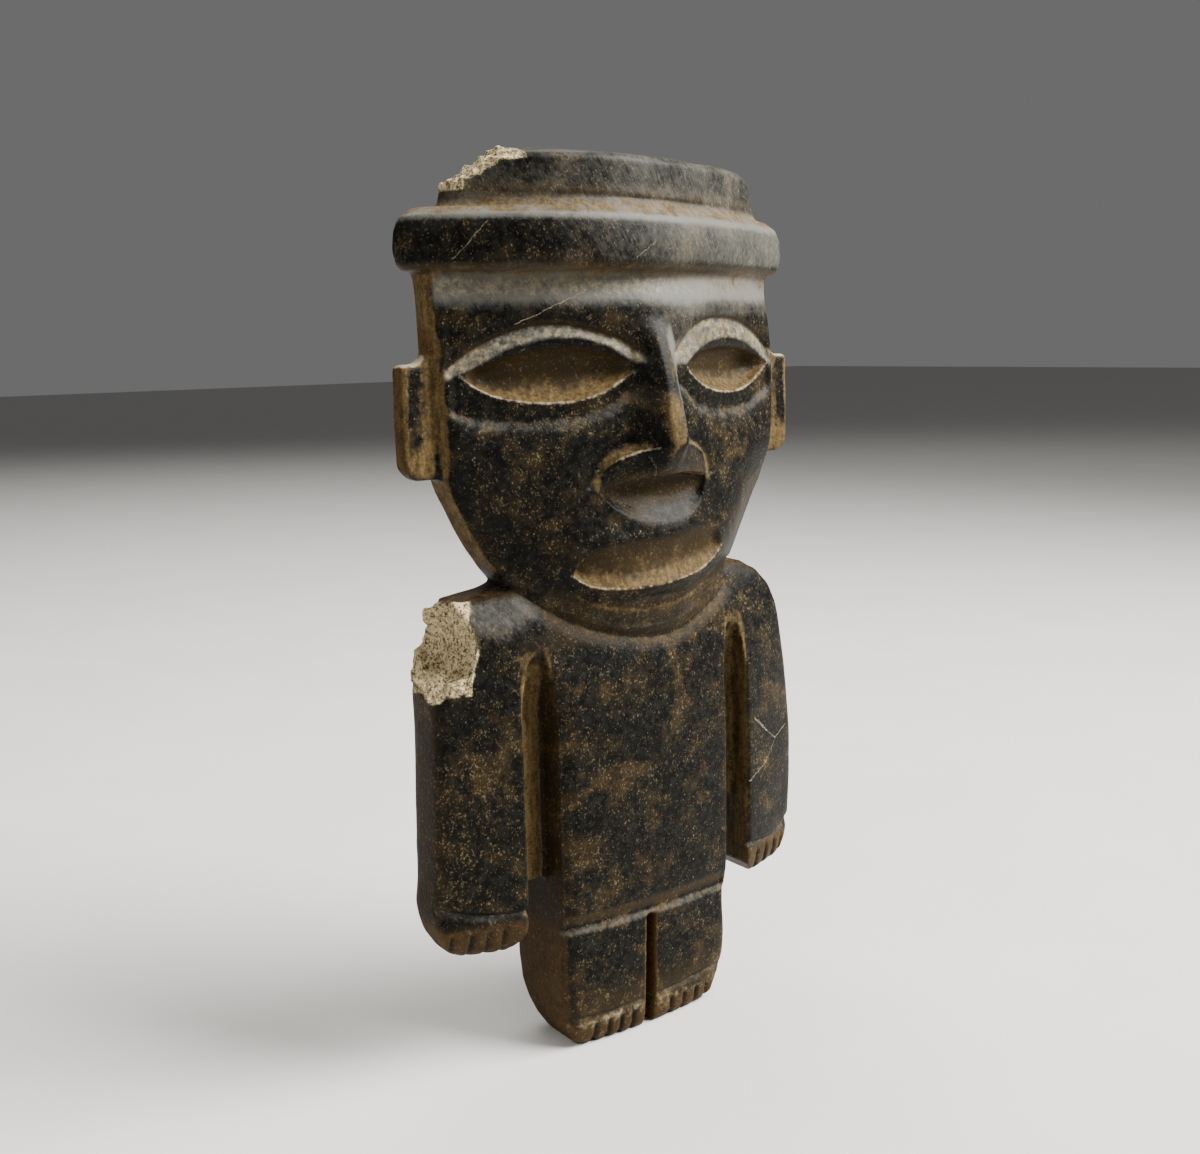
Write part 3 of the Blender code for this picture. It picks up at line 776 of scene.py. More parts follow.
@dataclass
class Head:
    """The face: brow, eyes, nose, mouth and chin, and the head's sides."""

    low: float = 124.0
    high: float = 207.0
    edge: float = 53.6
    front_limit: float = 9.0
    near_eye: Eye = Eye(
        crease=Curve(((-54.6, 182.4), (-50.0, 186.4), (-42.6, 191.0), (-32.7, 194.3), (-24.0, 194.4),
                      (-15.0, 192.2), (-8.6, 190.0), (-5.4, 187.6))),
        rim=Curve(((-54.0, 181.0), (-46.1, 184.6), (-38.3, 188.6), (-30.0, 190.8), (-21.5, 190.9),
                   (-14.7, 189.2), (-6.6, 184.6))),
        sill=Curve(((-49.9, 182.2), (-43.8, 178.1), (-36.1, 175.9), (-28.1, 175.2), (-19.6, 176.1),
                    (-12.0, 179.2), (-7.2, 182.2))),
        under=Curve(((-54.6, 176.4), (-48.4, 172.7), (-40.8, 171.2), (-32.9, 171.1), (-23.0, 171.7),
                     (-14.0, 174.2), (-8.0, 178.0))))
    far_eye: Eye = Eye(
        crease=Curve(((7.4, 187.4), (11.0, 191.4), (16.5, 194.6), (27.3, 195.9), (38.0, 194.6),
                      (46.0, 191.6), (54.6, 186.4))),
        rim=Curve(((11.0, 184.0), (16.0, 187.4), (23.0, 189.8), (31.0, 190.4), (39.0, 189.2),
                   (46.0, 186.4), (53.0, 182.8))),
        sill=Curve(((11.2, 183.0), (15.0, 179.8), (21.0, 177.2), (29.0, 175.9), (37.0, 176.2),
                    (44.0, 178.4), (51.6, 182.8))),
        under=Curve(((9.0, 179.0), (14.0, 174.6), (22.0, 172.2), (31.0, 171.6), (40.0, 172.4),
                     (47.0, 174.8), (54.6, 178.4))))
    lip: Lip = Lip()
    mouth: Mouth = Mouth(
        upper=Curve(((-24.8, 132.0), (-21.0, 136.2), (-12.1, 138.9), (0.0, 139.4), (10.0, 140.2),
                     (17.0, 140.8), (22.6, 138.4), (25.2, 134.6))),
        lower=Curve(((-24.8, 131.8), (-20.0, 128.6), (-12.0, 127.1), (-3.0, 126.9), (8.0, 127.9),
                     (16.0, 129.6), (22.0, 132.2), (25.2, 134.4))))
    nose: Nose = Nose()
    chin_lines: tuple[Groove, ...] = (
        Groove(((-25.4, 127.6), (-16.3, 122.6), (-3.5, 120.0), (10.4, 120.4), (24.6, 126.0)),
               depth=1.2, left=1.0, right=2.6, fade=6.0),
        Groove(((-17.0, 120.4), (-8.0, 117.2), (3.0, 116.2), (13.0, 116.8), (19.0, 119.2)),
               depth=1.0, left=0.8, right=2.0, fade=5.0))
    jaw: Groove = Groove(((-36.0, 129.0), (-28.4, 122.6), (-20.2, 117.8), (-8.2, 113.6), (2.0, 111.8),
                          (12.8, 112.2), (21.6, 115.8), (29.4, 119.6), (35.0, 124.0)),
                         depth=0.9, left=0.9, right=4.4, fade=4.0)
    brow_levels: tuple[Place, ...] = ((209.0, 1.7), (205.6, 1.4), (202.6, 0.7), (200.4, 0.1), (198.4, -0.2),
                                      (196.6, 0.0))
    # Painted sheen along the brow, under the brim.
    brow_bands: tuple[Band, ...] = (
        Band(Tint.DUST_AND_SHEEN, 202.0, 204.4, 6.5, 0.6),
        Band(Tint.DUST_AND_SHEEN, 202.0, 204.4, 3.0, 0.35))
    spots: tuple[Spot, ...] = (
        # painted sheen between the eyes, over the bridge of the nose
        Spot(Tint.DUST_AND_SHEEN, (8.0, 196.0), (9.0, 9.0), 0.3, 0.9),
        Spot(Tint.OCHRE, (-40.0, 153.0), (5.0, 6.0), 0.5),
        Spot(Tint.OCHRE, (-19.0, 170.0), (8.0, 2.6), 0.5),
        Spot(Tint.OCHRE, (0.0, 123.6), (24.0, 3.0), 0.6, 0.6))

    def _plain(self, skin: Skin) -> Array:
        """The points of the face that no carving reaches.

        Args:
            skin: the surface.

        Returns:
            Whether each point is one of them.
        """
        x, z = np.abs(skin.x), skin.z
        face = (x < 51.5) & (z > self.low + 2) & (z < self.high - 2) & (skin.y < self.front_limit)
        face &= skin.facing[:, 1] < -0.6
        eye = patch(x, z, (29.0, 183.0), (30.0, 15.5), 0.01) > 0.0
        mouth = patch(x, z, (0.0, 134.5), (28.0, 10.0), 0.01) > 0.0
        lip = (x < 21.0) & (z > 144.0) & (z < 170.0)
        bridge = (x < 9.0) & (z > 144.0) & (z < 196.0)
        return face & ~eye & ~mouth & ~lip & ~bridge

    def _depth(self, x: Array, z: Array, level: Array) -> Array:
        """How deep the face is cut at each point.

        Args:
            x, z: the points.
            level: the face's plain y at each.

        Returns:
            The depth of each, below 0 where the face swells.
        """
        depth = np.where(x < 0, self.near_eye.sink(x, z), self.far_eye.sink(x, z))
        brow = stepped(z, self.brow_levels) * ease(self.brow_levels[-1][0], self.brow_levels[-2][0], z)
        depth = depth + brow
        base = self.nose.base.at(x)
        depth = np.where(z < base, self.lip.sink(x, z, base), depth)
        near_nose = (z > base) & (z < 199.0) & (np.abs(x) < 23.0)
        depth = np.where(near_nose, depth + self.nose.front(x, z, level), depth)
        return np.where(z < 144.0, depth + self.mouth.sink(x, z), depth)

    def carve(self, skin: Skin) -> None:
        """Cuts the features into the front of the head.

        Args:
            skin: the surface, whose points are moved.
        """
        zone = (skin.z > self.low - 2) & (skin.z < self.high + 2) & (skin.y < self.front_limit)
        zone &= np.abs(skin.x) < self.edge + 1
        x, z = skin.x[zone], skin.z[zone]
        level = Ground(skin, self._plain(skin), 8).at(x, z)
        weight = within(self.low + 1, self.high - 1, 2.0, z)
        weight *= fall(self.edge - 2.6, self.edge, np.abs(x))
        beside = ease(0.0, 2.0, np.abs(x) - 23.0 - 1.1 * (z - 120.0))
        weight *= 1.0 - beside * fall(127.5, 129.5, z)
        skin.places[zone, 1] += (level + self._depth(x, z, level) - skin.y[zone]) * weight
        lines = np.zeros(len(x))
        for line in self.chin_lines:
            lines = np.maximum(lines, line.sink(x, z))
        skin.places[zone, 1] += lines
        under = (skin.z > 106.0) & (skin.z < 132.0) & (skin.facing[:, 1] < -0.35) & (skin.y < 6.0)
        skin.places[under, 1] += self.jaw.sink(skin.x[under], skin.z[under])

    def tint(self, skin: Skin, tints: Tints) -> None:
        """Says where the head holds earth, rust and worn pale edges, and where sheen, light and shade are
        painted on it.

        Args:
            skin: the surface.
            tints: the tints, which are raised.
        """
        x, y, z = skin.places.T
        face = (y < self.front_limit) * fall(self.edge, self.edge + 1.0, np.abs(x))
        for eye in (self.near_eye, self.far_eye):
            eye.tint(x, z, face, tints)
        self.nose.tint(skin, face, tints)
        self.lip.tint(x, z, self.nose.base.at(x), face, tints)
        self.mouth.tint(x, z, face, tints)
        for spot in self.spots:
            spot.add(x, z, face, tints)
        self._tint_brow(x, z, face, tints)
        self._tint_chin(skin, face, tints)
        cove = ease(202.0, 207.0, z) * (z < 208.4) * (y < self.front_limit) * (np.abs(x) < 58.0)
        tints.add(cove, earth=0.35, brown=0.5)
        side = within(116.0, 206.5, 1.0, z) * ease(0.5, 0.9, -skin.facing[:, 0]) * (x < -40.0)
        tints.add(side, earth=0.7)
        tints.add(within(114.0, 150.0, 8.0, z) * ease(4.0, 12.0, y) * side, rust=0.75)

    def _tint_brow(self, x: Array, z: Array, face: Array, tints: Tints) -> None:
        """The painted sheen of the brow: paler and patchy on the near side, wider and greyer over the far
        eye.

        Args:
            x, z: the points.
            face: 1 for each point on the face, and 0 elsewhere.
            tints: the tints, which are raised.
        """
        for band in self.brow_bands:
            band.add(z, face, tints)
        # A pale worn tint on the near side stands in for the brow's sheen: painted highlight.
        near = 1.0 - 0.8 * ease(-4.0, 34.0, x)
        tints.add(within(202.4, 204.6, 3.0, z) * face * near, wear_and_highlight=0.42)
        # Painted sheen over the far eye, with earth.
        far = within(197.2, 204.0, 2.4, z) * ease(2.0, 14.0, x) * face
        tints.add(far, dust_and_sheen=0.34 - 0.3 * ease(0.0, 24.0, x) * within(200.0, 204.4, 4.5, z), earth=0.24)

    def _tint_chin(self, skin: Skin, face: Array, tints: Tints) -> None:
        """The chin: black under the lip, brown below it, with earth in its lines and the jaw's, painted shade
        along the jaw's line and in the lower line, and painted light on the lower line's sides.

        Args:
            skin: the surface.
            face: 1 for each point on the face, and 0 elsewhere.
            tints: the tints, which are raised.
        """
        x, y, z = skin.places.T
        jaw = self.jaw.sink(x, z) / self.jaw.depth * (y < 6.0)
        tints.add(jaw, earth=0.6, brown=0.8)
        # Painted shade along the jaw's line, where the jaw overhangs the chest.
        tints.add(ease(0.72, 0.95, jaw), dark=0.9)
        lip_edge = self.mouth.lower.at(x)
        strip = within(lip_edge - 3.4, lip_edge - 0.7, 0.5, z) * (np.abs(x) < 26.0)
        chin = within(114.0, 126.0, 3.0, z) * (np.abs(x) < 30.0) * (y < 2.0)
        tints.add(chin * (1.0 - strip), brown=0.55)
        upper, lower = (line.sink(x, z) / line.depth * face for line in self.chin_lines)
        tints.add(upper, earth=0.55, ochre=0.5)
        # Painted light on the lower line's sides, and painted shade in its bottom.
        tints.add(within(0.15, 0.5, 0.15, lower), dust_and_sheen=0.3)
        tints.add(ease(0.6, 0.9, lower), dark=0.8)


@dataclass
class Headdress:
    """The brim and the crown that steps back above it."""

    brim_low: float = 207.4
    brim_high: float = 222.0
    brim_end: float = 59.0
    crown_top: float = 238.0
    score: Groove = Groove(((-46.0, 226.4), (-36.4, 225.6), (-25.1, 225.2), (-11.1, 224.8), (7.6, 224.6),
                            (34.2, 224.8), (50.0, 225.4)), depth=0.45, left=0.7, right=1.6, fade=6.0)
    bands: tuple[Band, ...] = (
        Band(Tint.BROWN, 205.6, 208.6, 0.8, 0.9),
        # painted highlight along the brim's rounded top edge
        Band(Tint.DUST_AND_SHEEN, 219.6, 221.6, 1.0, 0.6),
        Band(Tint.WEAR_AND_HIGHLIGHT, 220.0, 221.8, 1.0, 0.2),
        Band(Tint.EARTH, 221.2, 223.6, 1.4, 0.55),
        # painted light on the crown's foot, which faces up
        Band(Tint.DUST_AND_SHEEN, 221.2, 223.6, 1.4, 0.5),
        Band(Tint.BROWN, 224.4, 226.8, 1.2, 0.8))

    def carve(self, skin: Skin) -> None:
        """Scores the foot of the crown."""
        front = (skin.facing[:, 1] < -0.2) & (skin.z > self.brim_high)
        skin.places[front, 1] += self.score.sink(skin.x[front], skin.z[front])

    def tint(self, skin: Skin, tints: Tints) -> None:
        """Says where the headdress holds earth, rust and worn pale edges, and where sheen and highlights are
        painted on it.

        Args:
            skin: the surface.
            tints: the tints, which are raised.
        """
        x, y, z = skin.places.T
        for band in self.bands:
            band.add(z, 1.0, tints)
        end = ease(self.brim_end, self.brim_end + 2.5, -x) * within(self.brim_low, self.brim_high, 1.0, z)
        tints.add(end, earth=0.4)
        tints.add(end * ease(-2.0, 8.0, y), rust=0.4)
        # Painted sheen on the brim's front and the crown's front, stronger towards +X, where the key light
        # is.
        right = ease(-60.0, 32.0, x) * (y < 12.0)
        tints.add(right * within(self.brim_low + 3.0, self.brim_high, 2.0, z), dust_and_sheen=0.55)
        tints.add(within(226.0, 235.0, 3.0, z), dust_and_sheen=0.27 * (y < 10.0) + 0.14 * right)
        top = ease(self.crown_top - 1.6, self.crown_top - 0.5, z)
        tints.add(top * fall(0.6, 0.9, skin.facing[:, 2]), wear_and_highlight=0.8)


@dataclass
class Ears:
    """The flat ears at the sides of the head."""

    inner: float = 54.5
    low: float = 156.0
    high: float = 194.0

    def tint(self, skin: Skin, tints: Tints) -> None:
        """Says where the ears hold earth, rust and wear.

        Args:
            skin: the surface.
            tints: the tints, which are raised.
        """
        x, y, z = skin.places.T
        ear = ease(self.inner, self.inner + 0.6, np.abs(x)) * within(self.low, self.high, 0.6, z)
        tints.add(ear * ease(0.4, 0.9, np.abs(skin.facing[:, 0])), rust=0.85)
        front = ear * ease(0.3, 0.7, -skin.facing[:, 1])
        stripe = within(58.9, 61.0, 0.4, np.abs(x) + 0.05 * (z - 184.0)) * within(166.0, 184.0, 1.0, z)
        tints.add(front * (1.0 - stripe), earth=0.6)
        tints.add(front * stripe, dark=1.0)
        tints.add(ear * ease(0.3, 0.8, skin.facing[:, 2]), wear_and_highlight=0.8)


@dataclass
class Torso:
    """The trunk and the channels beside it, down to the hem."""

    half: float = 28.4
    hem_levels: tuple[Place, ...] = ((39.8, 0.0), (39.0, 0.45), (38.3, 0.4), (37.0, 0.9), (36.0, 1.35))
    hem_low: float = 32.8
    hem_end: float = 31.4
    hem_tilt: float = -0.012
    bevel: float = 5.0
    bevel_depth: float = 1.7
    channel_end: float = 38.0
    front_limit: float = 4.0
    spots: tuple[Spot, ...] = (
        # painted sheen on the near shoulder
        Spot(Tint.DUST_AND_SHEEN, (-40.5, 122.0), (11.0, 5.4), 0.5, 0.9),
        Spot(Tint.OCHRE, (34.0, 116.0), (14.0, 9.0), 0.3),
        Spot(Tint.EARTH, (31.0, 121.0), (5.0, 6.0), 0.2))
    # Painted shade at the top of each channel, under the shoulder.
    channel_top: Spot = Spot(Tint.DARK, (34.5, 112.0), (6.5, 7.0), 0.6)

    def carve(self, skin: Skin) -> None:
        """Cuts the hem: a scored line, a step in, and a slope out to the legs.

        Args:
            skin: the surface, whose points are moved.
        """
        zone = (np.abs(skin.x) < self.half + 0.5) & (skin.z > 28.0) & (skin.z < 46.0)
        zone &= (skin.facing[:, 1] < 0.3) & (skin.y < 2.0)
        front = zone & (skin.facing[:, 1] < -0.8) & (np.abs(skin.x) > 2.4)
        trunk = Ground(skin, front & (skin.z > 37.0), 3)
        legs = Ground(skin, front & (skin.z < 33.0), 3)
        x, z = skin.x[zone], skin.z[zone] - self.hem_tilt * skin.x[zone]
        upper, lower = trunk.at(x, np.maximum(z, 37.0)), legs.at(x, np.minimum(z, 33.0))
        low_level = lower - upper - 0.1
        levels = self.hem_levels + ((self.hem_low, low_level), (self.hem_end, lower - upper))
        weight = within(self.hem_end, 39.6, 1.0, z)
        weight *= fall(self.half - 2.2, self.half - 0.4, np.abs(x))
        weight *= fall(0.5, 1.5, skin.y[zone])
        slit = (np.abs(x) < 2.0) & (z < 34.5)
        weight = np.where(slit, 0.0, weight)
        skin.places[zone, 1] += (upper + stepped(z, levels) - skin.y[zone]) * weight
        edge = (skin.facing[:, 1] < -0.2) & (np.abs(skin.x) < self.half + 1.0) & (skin.y < 0.5)
        edge &= (skin.z > 8.0) & (skin.z < 108.0)
        share = np.clip((-skin.x[edge] - self.half + self.bevel) / self.bevel, 0.0, 1.2)
        skin.places[edge, 1] += self.bevel_depth * share ** 2 * within(12.0, 92.0, 14.0, skin.z[edge])

    def tint(self, skin: Skin, tints: Tints) -> None:
        """Says where the trunk, its channels and the slit hold earth and rust, and where sheen, light and
        shade are painted on them.

        Args:
            skin: the surface.
            tints: the tints, which are raised.
        """
        x, y, z = skin.places.T
        out, front = np.abs(x), y < self.front_limit
        for spot in self.spots:
            spot.add(x, z, front, tints)
        self.channel_top.add(out, z, y < 6.0, tints)
        level = z - self.hem_tilt * x
        trunk = (out < self.half) * (y < 0.0)
        # Painted light on the hem's slope, which faces up, with earth.
        band = within(self.hem_low + 1.0, 34.8, 1.1, level) * trunk
        tints.add(band, dust_and_sheen=0.5, earth=0.4)
        # Painted shade in the hem's line, on its wall that faces down.
        tints.add(within(36.6, 39.0, 0.6, level) * trunk, brown=0.9)
        channel = within(self.half + 1.6, self.channel_end, 1.0, out) * (y < 12.0)
        channel *= within(40.0, 112.0, 6.0, z)
        tints.add(channel, earth=0.5 + 0.35 * ease(0.6, 0.9, -skin.facing[:, 1]), brown=0.8)
        wall = ease(0.5, 0.9, -skin.facing[:, 0]) * within(self.half - 1.5, self.half + 0.6, 0.6, out)
        tints.add(wall * within(0.0, 112.0, 4.0, z), brown=0.7)
        low = ease(0.4, 0.8, np.abs(skin.facing[:, 0])) * (out > 20.0) * fall(34.0, 52.0, z)
        tints.add(low * (out < self.half + 6.0), rust=0.45)
        slit = (out < 2.6) * fall(32.0, 34.6, z) * ease(-11.0, -8.0, y) * (y < 9.0)
        tints.add(slit, rust=0.6, earth=0.4)
        top = ease(0.3, 0.7, skin.facing[:, 2]) * (out > 26.0) * within(112.0, 128.0, 2.0, z)
        tints.add(top * ease(-2.0, 4.0, y), rust=0.5)
        tints.add(top, brown=0.5)


@dataclass
class Arm:
    """An arm that hangs at the side, with its wrist line and fingers."""

    side: int
    wrist: tuple[Place, ...]
    notches: tuple[float, ...]
    inner: float = 38.2
    outer: float = 61.4
    hand_top: float = 41.4
    hand_low: float = 32.6
    notch_depth: float = 1.25
    spots: tuple[Spot, ...] = ()

    def carve(self, skin: Skin) -> None:
        """Cuts the wrist and the notches between the fingers.

        Args:
            skin: the surface, whose points are moved.
        """
        x = self.side * skin.x
        zone = (x > self.inner - 0.5) & (x < self.outer + 1.5) & (skin.z > 31.0) & (skin.z < 54.0)
        zone &= (skin.facing[:, 1] < 0.2) & (skin.y < 8.0)
        front = zone & (skin.facing[:, 1] < -0.75) & (x > self.inner + 1.5) & (x < self.outer - 3.0)
        arm = Ground(skin, front & (skin.z > 35.0) & ((skin.z > 47.6) | (skin.z < 42.0)), 3)
        px, pz = skin.x[zone], skin.z[zone]
        weight = within(self.inner + 1.4, self.outer - 3.4, 1.4, self.side * px)
        weight *= within(36.5, 48.0, 3.0, pz)
        level = arm.at(px, pz) - 0.15
        y = skin.y[zone] + (level - skin.y[zone]) * weight
        y += Groove(self.wrist, depth=1.5, left=1.2, right=2.9, fade=1.0).sink(px, pz)
        for place in self.notches:
            path = ((place, self.hand_top), (place, self.hand_low - 3.0))
            y += Groove(path, self.notch_depth, 0.95, 0.95, fade=2.0).sink(px, pz)
        skin.places[zone, 1] = y

    def tint(self, skin: Skin, tints: Tints) -> None:
        """Says where the arm holds earth, rust and ochre, and where light and shade are painted on it.

        Args:
            skin: the surface.
            tints: the tints, which are raised.
        """
        x, y, z = skin.places.T
        out = self.side * x
        arm = ease(self.inner - 0.4, self.inner + 0.4, out) * within(31.0, 120.0, 3.0, z)
        hand = arm * fall(40.6, 43.6, z)
        tints.add(hand, rust=0.62 + 0.3 * ease(self.outer - 9.0, self.outer - 2.0, out), brown=0.7)
        # Painted shade in the notches between the fingers.
        fingers = arm * fall(38.0, 41.0, z) * (y < 6.0)
        for place in self.notches:
            tints.add(within(place - 0.2, place + 0.2, 0.4, x) * fingers, dark=1.0)
        # Painted light along the wrist's line, with earth.
        wrist = Groove(self.wrist, 1.0, 0.6, 3.0, fade=1.0).sink(x, z) * (y < 6.0) * arm
        tints.add(wrist, dust_and_sheen=0.4, earth=0.25, wear_and_highlight=0.25)
        outer = arm * ease(0.5, 0.95, self.side * skin.facing[:, 0])
        tints.add(outer * ease(-6.0, 4.0, y), brown=0.4)
        tints.add(outer * ease(5.0, 11.0, y), rust=0.45)
        inner = arm * ease(0.6, 0.95, -self.side * skin.facing[:, 0])
        tints.add(inner, brown=0.9, earth=0.25)
        for spot in self.spots:
            spot.add(x, z, y < 8.0, tints)


@dataclass
class Foot:
    """A leg below the hem, with the line of the instep and the toes."""

    instep: tuple[Place, ...]
    notches: tuple[float, ...]
    side: int
    inner: float = 1.6
    outer: float = 26.4
    toe_top: float = 6.9
    notch_depth: float = 1.35

    def carve(self, skin: Skin) -> None:
        """Cuts the line over the toes and the notches between them.

        Args:
            skin: the surface, whose points are moved.
        """
        x = self.side * skin.x
        zone = (x > self.inner) & (x < self.outer + 1.5) & (skin.z < 16.0)
        zone &= (skin.facing[:, 1] < 0.2) & (skin.y < 0.0)
        front = zone & (skin.facing[:, 1] < -0.5) & (x > self.inner + 1.5) & (x < self.outer - 2.0)
        leg = Ground(skin, front & (skin.z > 1.4), 3)
        px, pz = skin.x[zone], skin.z[zone]
        weight = within(self.inner + 1.4, self.outer - 2.6, 1.4, self.side * px)
        weight *= within(2.4, 9.4, 1.2, pz)
        y = skin.y[zone] + (leg.at(px, pz) - 0.25 - skin.y[zone]) * weight
        y += Groove(self.instep, depth=1.2, left=1.1, right=2.2, fade=1.5).sink(px, pz)
        for place in self.notches:
            path = ((place, self.toe_top), (place * 1.02, -4.0))
            y += Groove(path, self.notch_depth, 0.9, 0.9, fade=1.6).sink(px, pz)
        skin.places[zone, 1] = y

    def tint(self, skin: Skin, tints: Tints) -> None:
        """Says where the leg holds earth and rust, and where light and shade are painted on it.

        Args:
            skin: the surface.
            tints: the tints, which are raised.
        """
        x, y, z = skin.places.T
        leg = ease(self.inner - 1.0, self.inner, self.side * x) * (self.side * x < self.outer + 4.0)
        front = leg * (y < 0.0)
        tints.add(leg * fall(5.0, 9.0, z), rust=0.66)
        tints.add(leg * fall(9.0, 20.0, z), brown=0.7)
        # Earth over the toes, and a painted highlight on their tops.
        tints.add(front * within(4.0, 7.4, 0.8, z), earth=0.3)
        tints.add(front * within(5.0, 7.2, 0.8, z), wear_and_highlight=0.3)
        # Painted shade in the notches between the toes.
        for place in self.notches:
            toes = within(place - 0.2, place + 0.2, 0.4, x) * fall(4.5, 7.0, z)
            tints.add(toes * front, dark=1.0)
        side = leg * ease(0.5, 0.9, np.abs(skin.facing[:, 0])) * fall(33.0, 38.0, z)
        tints.add(side, brown=0.9, rust=0.25)
        # Painted light along the instep's line, with earth.
        line = Groove(self.instep, 1.0, 0.5, 2.6, fade=1.5).sink(x, z) * (y < 0.0)
        tints.add(line, dust_and_sheen=0.35, earth=0.3, wear_and_highlight=0.3)


@dataclass
class Break:
    """A fracture: its place in the solid, found by the uneven faces that it left there."""

    name: str
    middle: tuple[float, float, float]
    radii: tuple[float, float, float]
    turn: float
    limit: Callable[[Vector], bool]
    end: float
    grain: float = 0.75

    def faces(self, solid: bpy.types.Object) -> list[tuple[Vector, Vector, Vector]]:
        """Finds the faces whose corners all lie on the skin of the fracture's round form.

        Args:
            solid: the figure's solid.

        Returns:
            The three corners of each.
        """
        back = Matrix.Rotation(-self.turn, 3, "Y")
        middle = Vector(self.middle)
        found = []
        for face in solid.data.polygons:
            corners = [solid.data.vertices[i].co / MM for i in face.vertices]
            near = True
            for corner in corners:
                local = back @ (corner - middle)
                reach = Vector([local[axis] / self.radii[axis] for axis in range(3)]).length
                near = near and 0.84 < reach < 1.42 and self.limit(corner)
            if near and face.area < 30.0 * MM * MM:
                found.append(tuple(corners))
        return found


@dataclass
class Figure:
    """The whole carved figure, from the solid to its dressed skin."""

    coarse: float = 0.55
    fine: float = 0.42
    most_faces: int = 192000
    crease_angle: float = math.radians(18)
    tint_rounds: int = 3
    broad_rounds: int = 120
    edge_rounds: int = 6
    last_rounds: int = 2
    crease_spacing: float = 0.35
    waves: tuple[tuple[float, float, float], ...] = ((0.13, 9.0, 0.0), (0.05, 3.5, 50.0))
    head: Head = field(default_factory=Head)
    headdress: Headdress = field(default_factory=Headdress)
    ears: Ears = field(default_factory=Ears)
    torso: Torso = field(default_factory=Torso)
    arms: tuple[Arm, ...] = (
        Arm(-1, wrist=((-62.4, 47.6), (-59.4, 47.2), (-56.1, 46.1), (-51.0, 44.8), (-46.0, 44.1),
                       (-41.0, 43.9), (-37.4, 44.4)),
            notches=(-57.8, -52.9, -48.8, -44.7),
            spots=(Spot(Tint.OCHRE, (-55.0, 68.0), (8.0, 13.0), 0.5, 0.7),
                   Spot(Tint.OCHRE, (-51.0, 91.0), (7.0, 9.0), 0.2, 0.7),
                   Spot(Tint.OCHRE, (-56.0, 50.0), (6.0, 4.0), 0.5, 0.7))),
        Arm(1, wrist=((37.4, 44.2), (41.0, 43.4), (47.0, 42.4), (52.0, 42.2), (56.0, 43.0), (61.6, 45.8)),
            notches=(43.8, 48.6, 53.2, 57.2),
            spots=(Spot(Tint.OCHRE, (47.0, 66.0), (6.0, 8.0), 0.4, 0.7),)))
    feet: tuple[Foot, ...] = (
        Foot(((-27.6, 9.2), (-22.5, 8.9), (-17.5, 8.6), (-10.5, 8.7), (-1.6, 8.9)),
             notches=(-18.2, -13.9, -9.9, -5.8), side=-1),
        Foot(((1.6, 8.8), (8.6, 9.1), (13.7, 9.7), (19.1, 9.9), (27.6, 10.5)),
             notches=(7.8, 12.6, 17.2, 21.4), side=1))
    breaks: tuple[Break, ...] = (
        Break("crown", (-46.4, 7.2, 239.5), (20.0, 34.0, 9.2), math.radians(-32),
              lambda corner: corner.x < -22.0 and corner.z > 223.6, end=-33.0),
        Break("shoulder", (-65.0, -1.8, 117.0), (15.8, 22.0, 15.6), math.radians(-14),
              lambda corner: corner.x < -46.0 and 99.8 < corner.z < 129.0, end=-48.8))

    def build(self) -> bpy.types.Object:
        """Makes the skin of the figure.

        Returns:
            The finished object, at the origin, with its tints as attributes.
        """
        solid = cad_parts[NODE]
        thing = self._copy(solid)
        apply_modifier(thing, "REMESH", mode="VOXEL", voxel_size=self.coarse * MM)
        self._soften(thing, solid)
        skin = Skin(thing)
        for part in (self.head, self.headdress, self.torso, *self.arms, *self.feet):
            part.carve(skin)
        skin.put_back()
        apply_modifier(thing, "REMESH", mode="VOXEL", voxel_size=self.fine * MM)
        apply_modifier(thing, "SMOOTH", factor=0.5, iterations=self.last_rounds)
        skin = Skin(thing)
        fresh = self._fracture(skin, solid)
        self._weather(skin, fresh)
        skin.put_back()
        self._tint(Skin(thing), fresh)
        apply_modifier(thing, "TRIANGULATE")
        ratio = self.most_faces / len(thing.data.polygons)
        apply_modifier(thing, "DECIMATE", ratio=min(ratio, 1.0))
        only(thing)
        bpy.ops.object.shade_smooth()
        log.info("%s: %d faces", thing.name, len(thing.data.polygons))
        return thing

    def _copy(self, solid: bpy.types.Object) -> bpy.types.Object:
        """A copy of the solid with its loose triangles merged.

        Args:
            solid: the figure's solid.

        Returns:
            The copy.
        """
        thing = bpy.data.objects.new("carved_figure", solid.data.copy())
        thing.data.materials.clear()
        bpy.context.scene.collection.objects.link(thing)
        only(thing)
        bpy.ops.object.mode_set(mode="EDIT")
        bpy.ops.mesh.select_all(action="SELECT")
        bpy.ops.mesh.remove_doubles(threshold=0.001 * MM)
        bpy.ops.object.mode_set(mode="OBJECT")
        return thing

    def _creases(self, solid: bpy.types.Object) -> KDTree:
        """Points spaced along every sharp edge of the solid.

        Args:
            solid: the figure's solid.

        Returns:
            The points, ready to be searched.
        """
        merged = self._copy(solid)
        mesh = merged.data
        normals: dict[tuple[int, int], list[Vector]] = {}
        for face in mesh.polygons:
            for key in face.edge_keys:
                normals.setdefault(key, []).append(face.normal)
        marks = []
        for (start, end), sides in normals.items():
            if len(sides) == 2 and sides[0].angle(sides[1], 0.0) > self.crease_angle:
                a, b = mesh.vertices[start].co, mesh.vertices[end].co
                steps = max(1, math.ceil((b - a).length / (self.crease_spacing * MM)))
                marks += [a.lerp(b, i / steps) for i in range(steps + 1)]
        bpy.data.objects.remove(merged)
        tree = KDTree(len(marks))
        for index, mark in enumerate(marks):
            tree.insert(mark, index)
        tree.balance()
        return tree

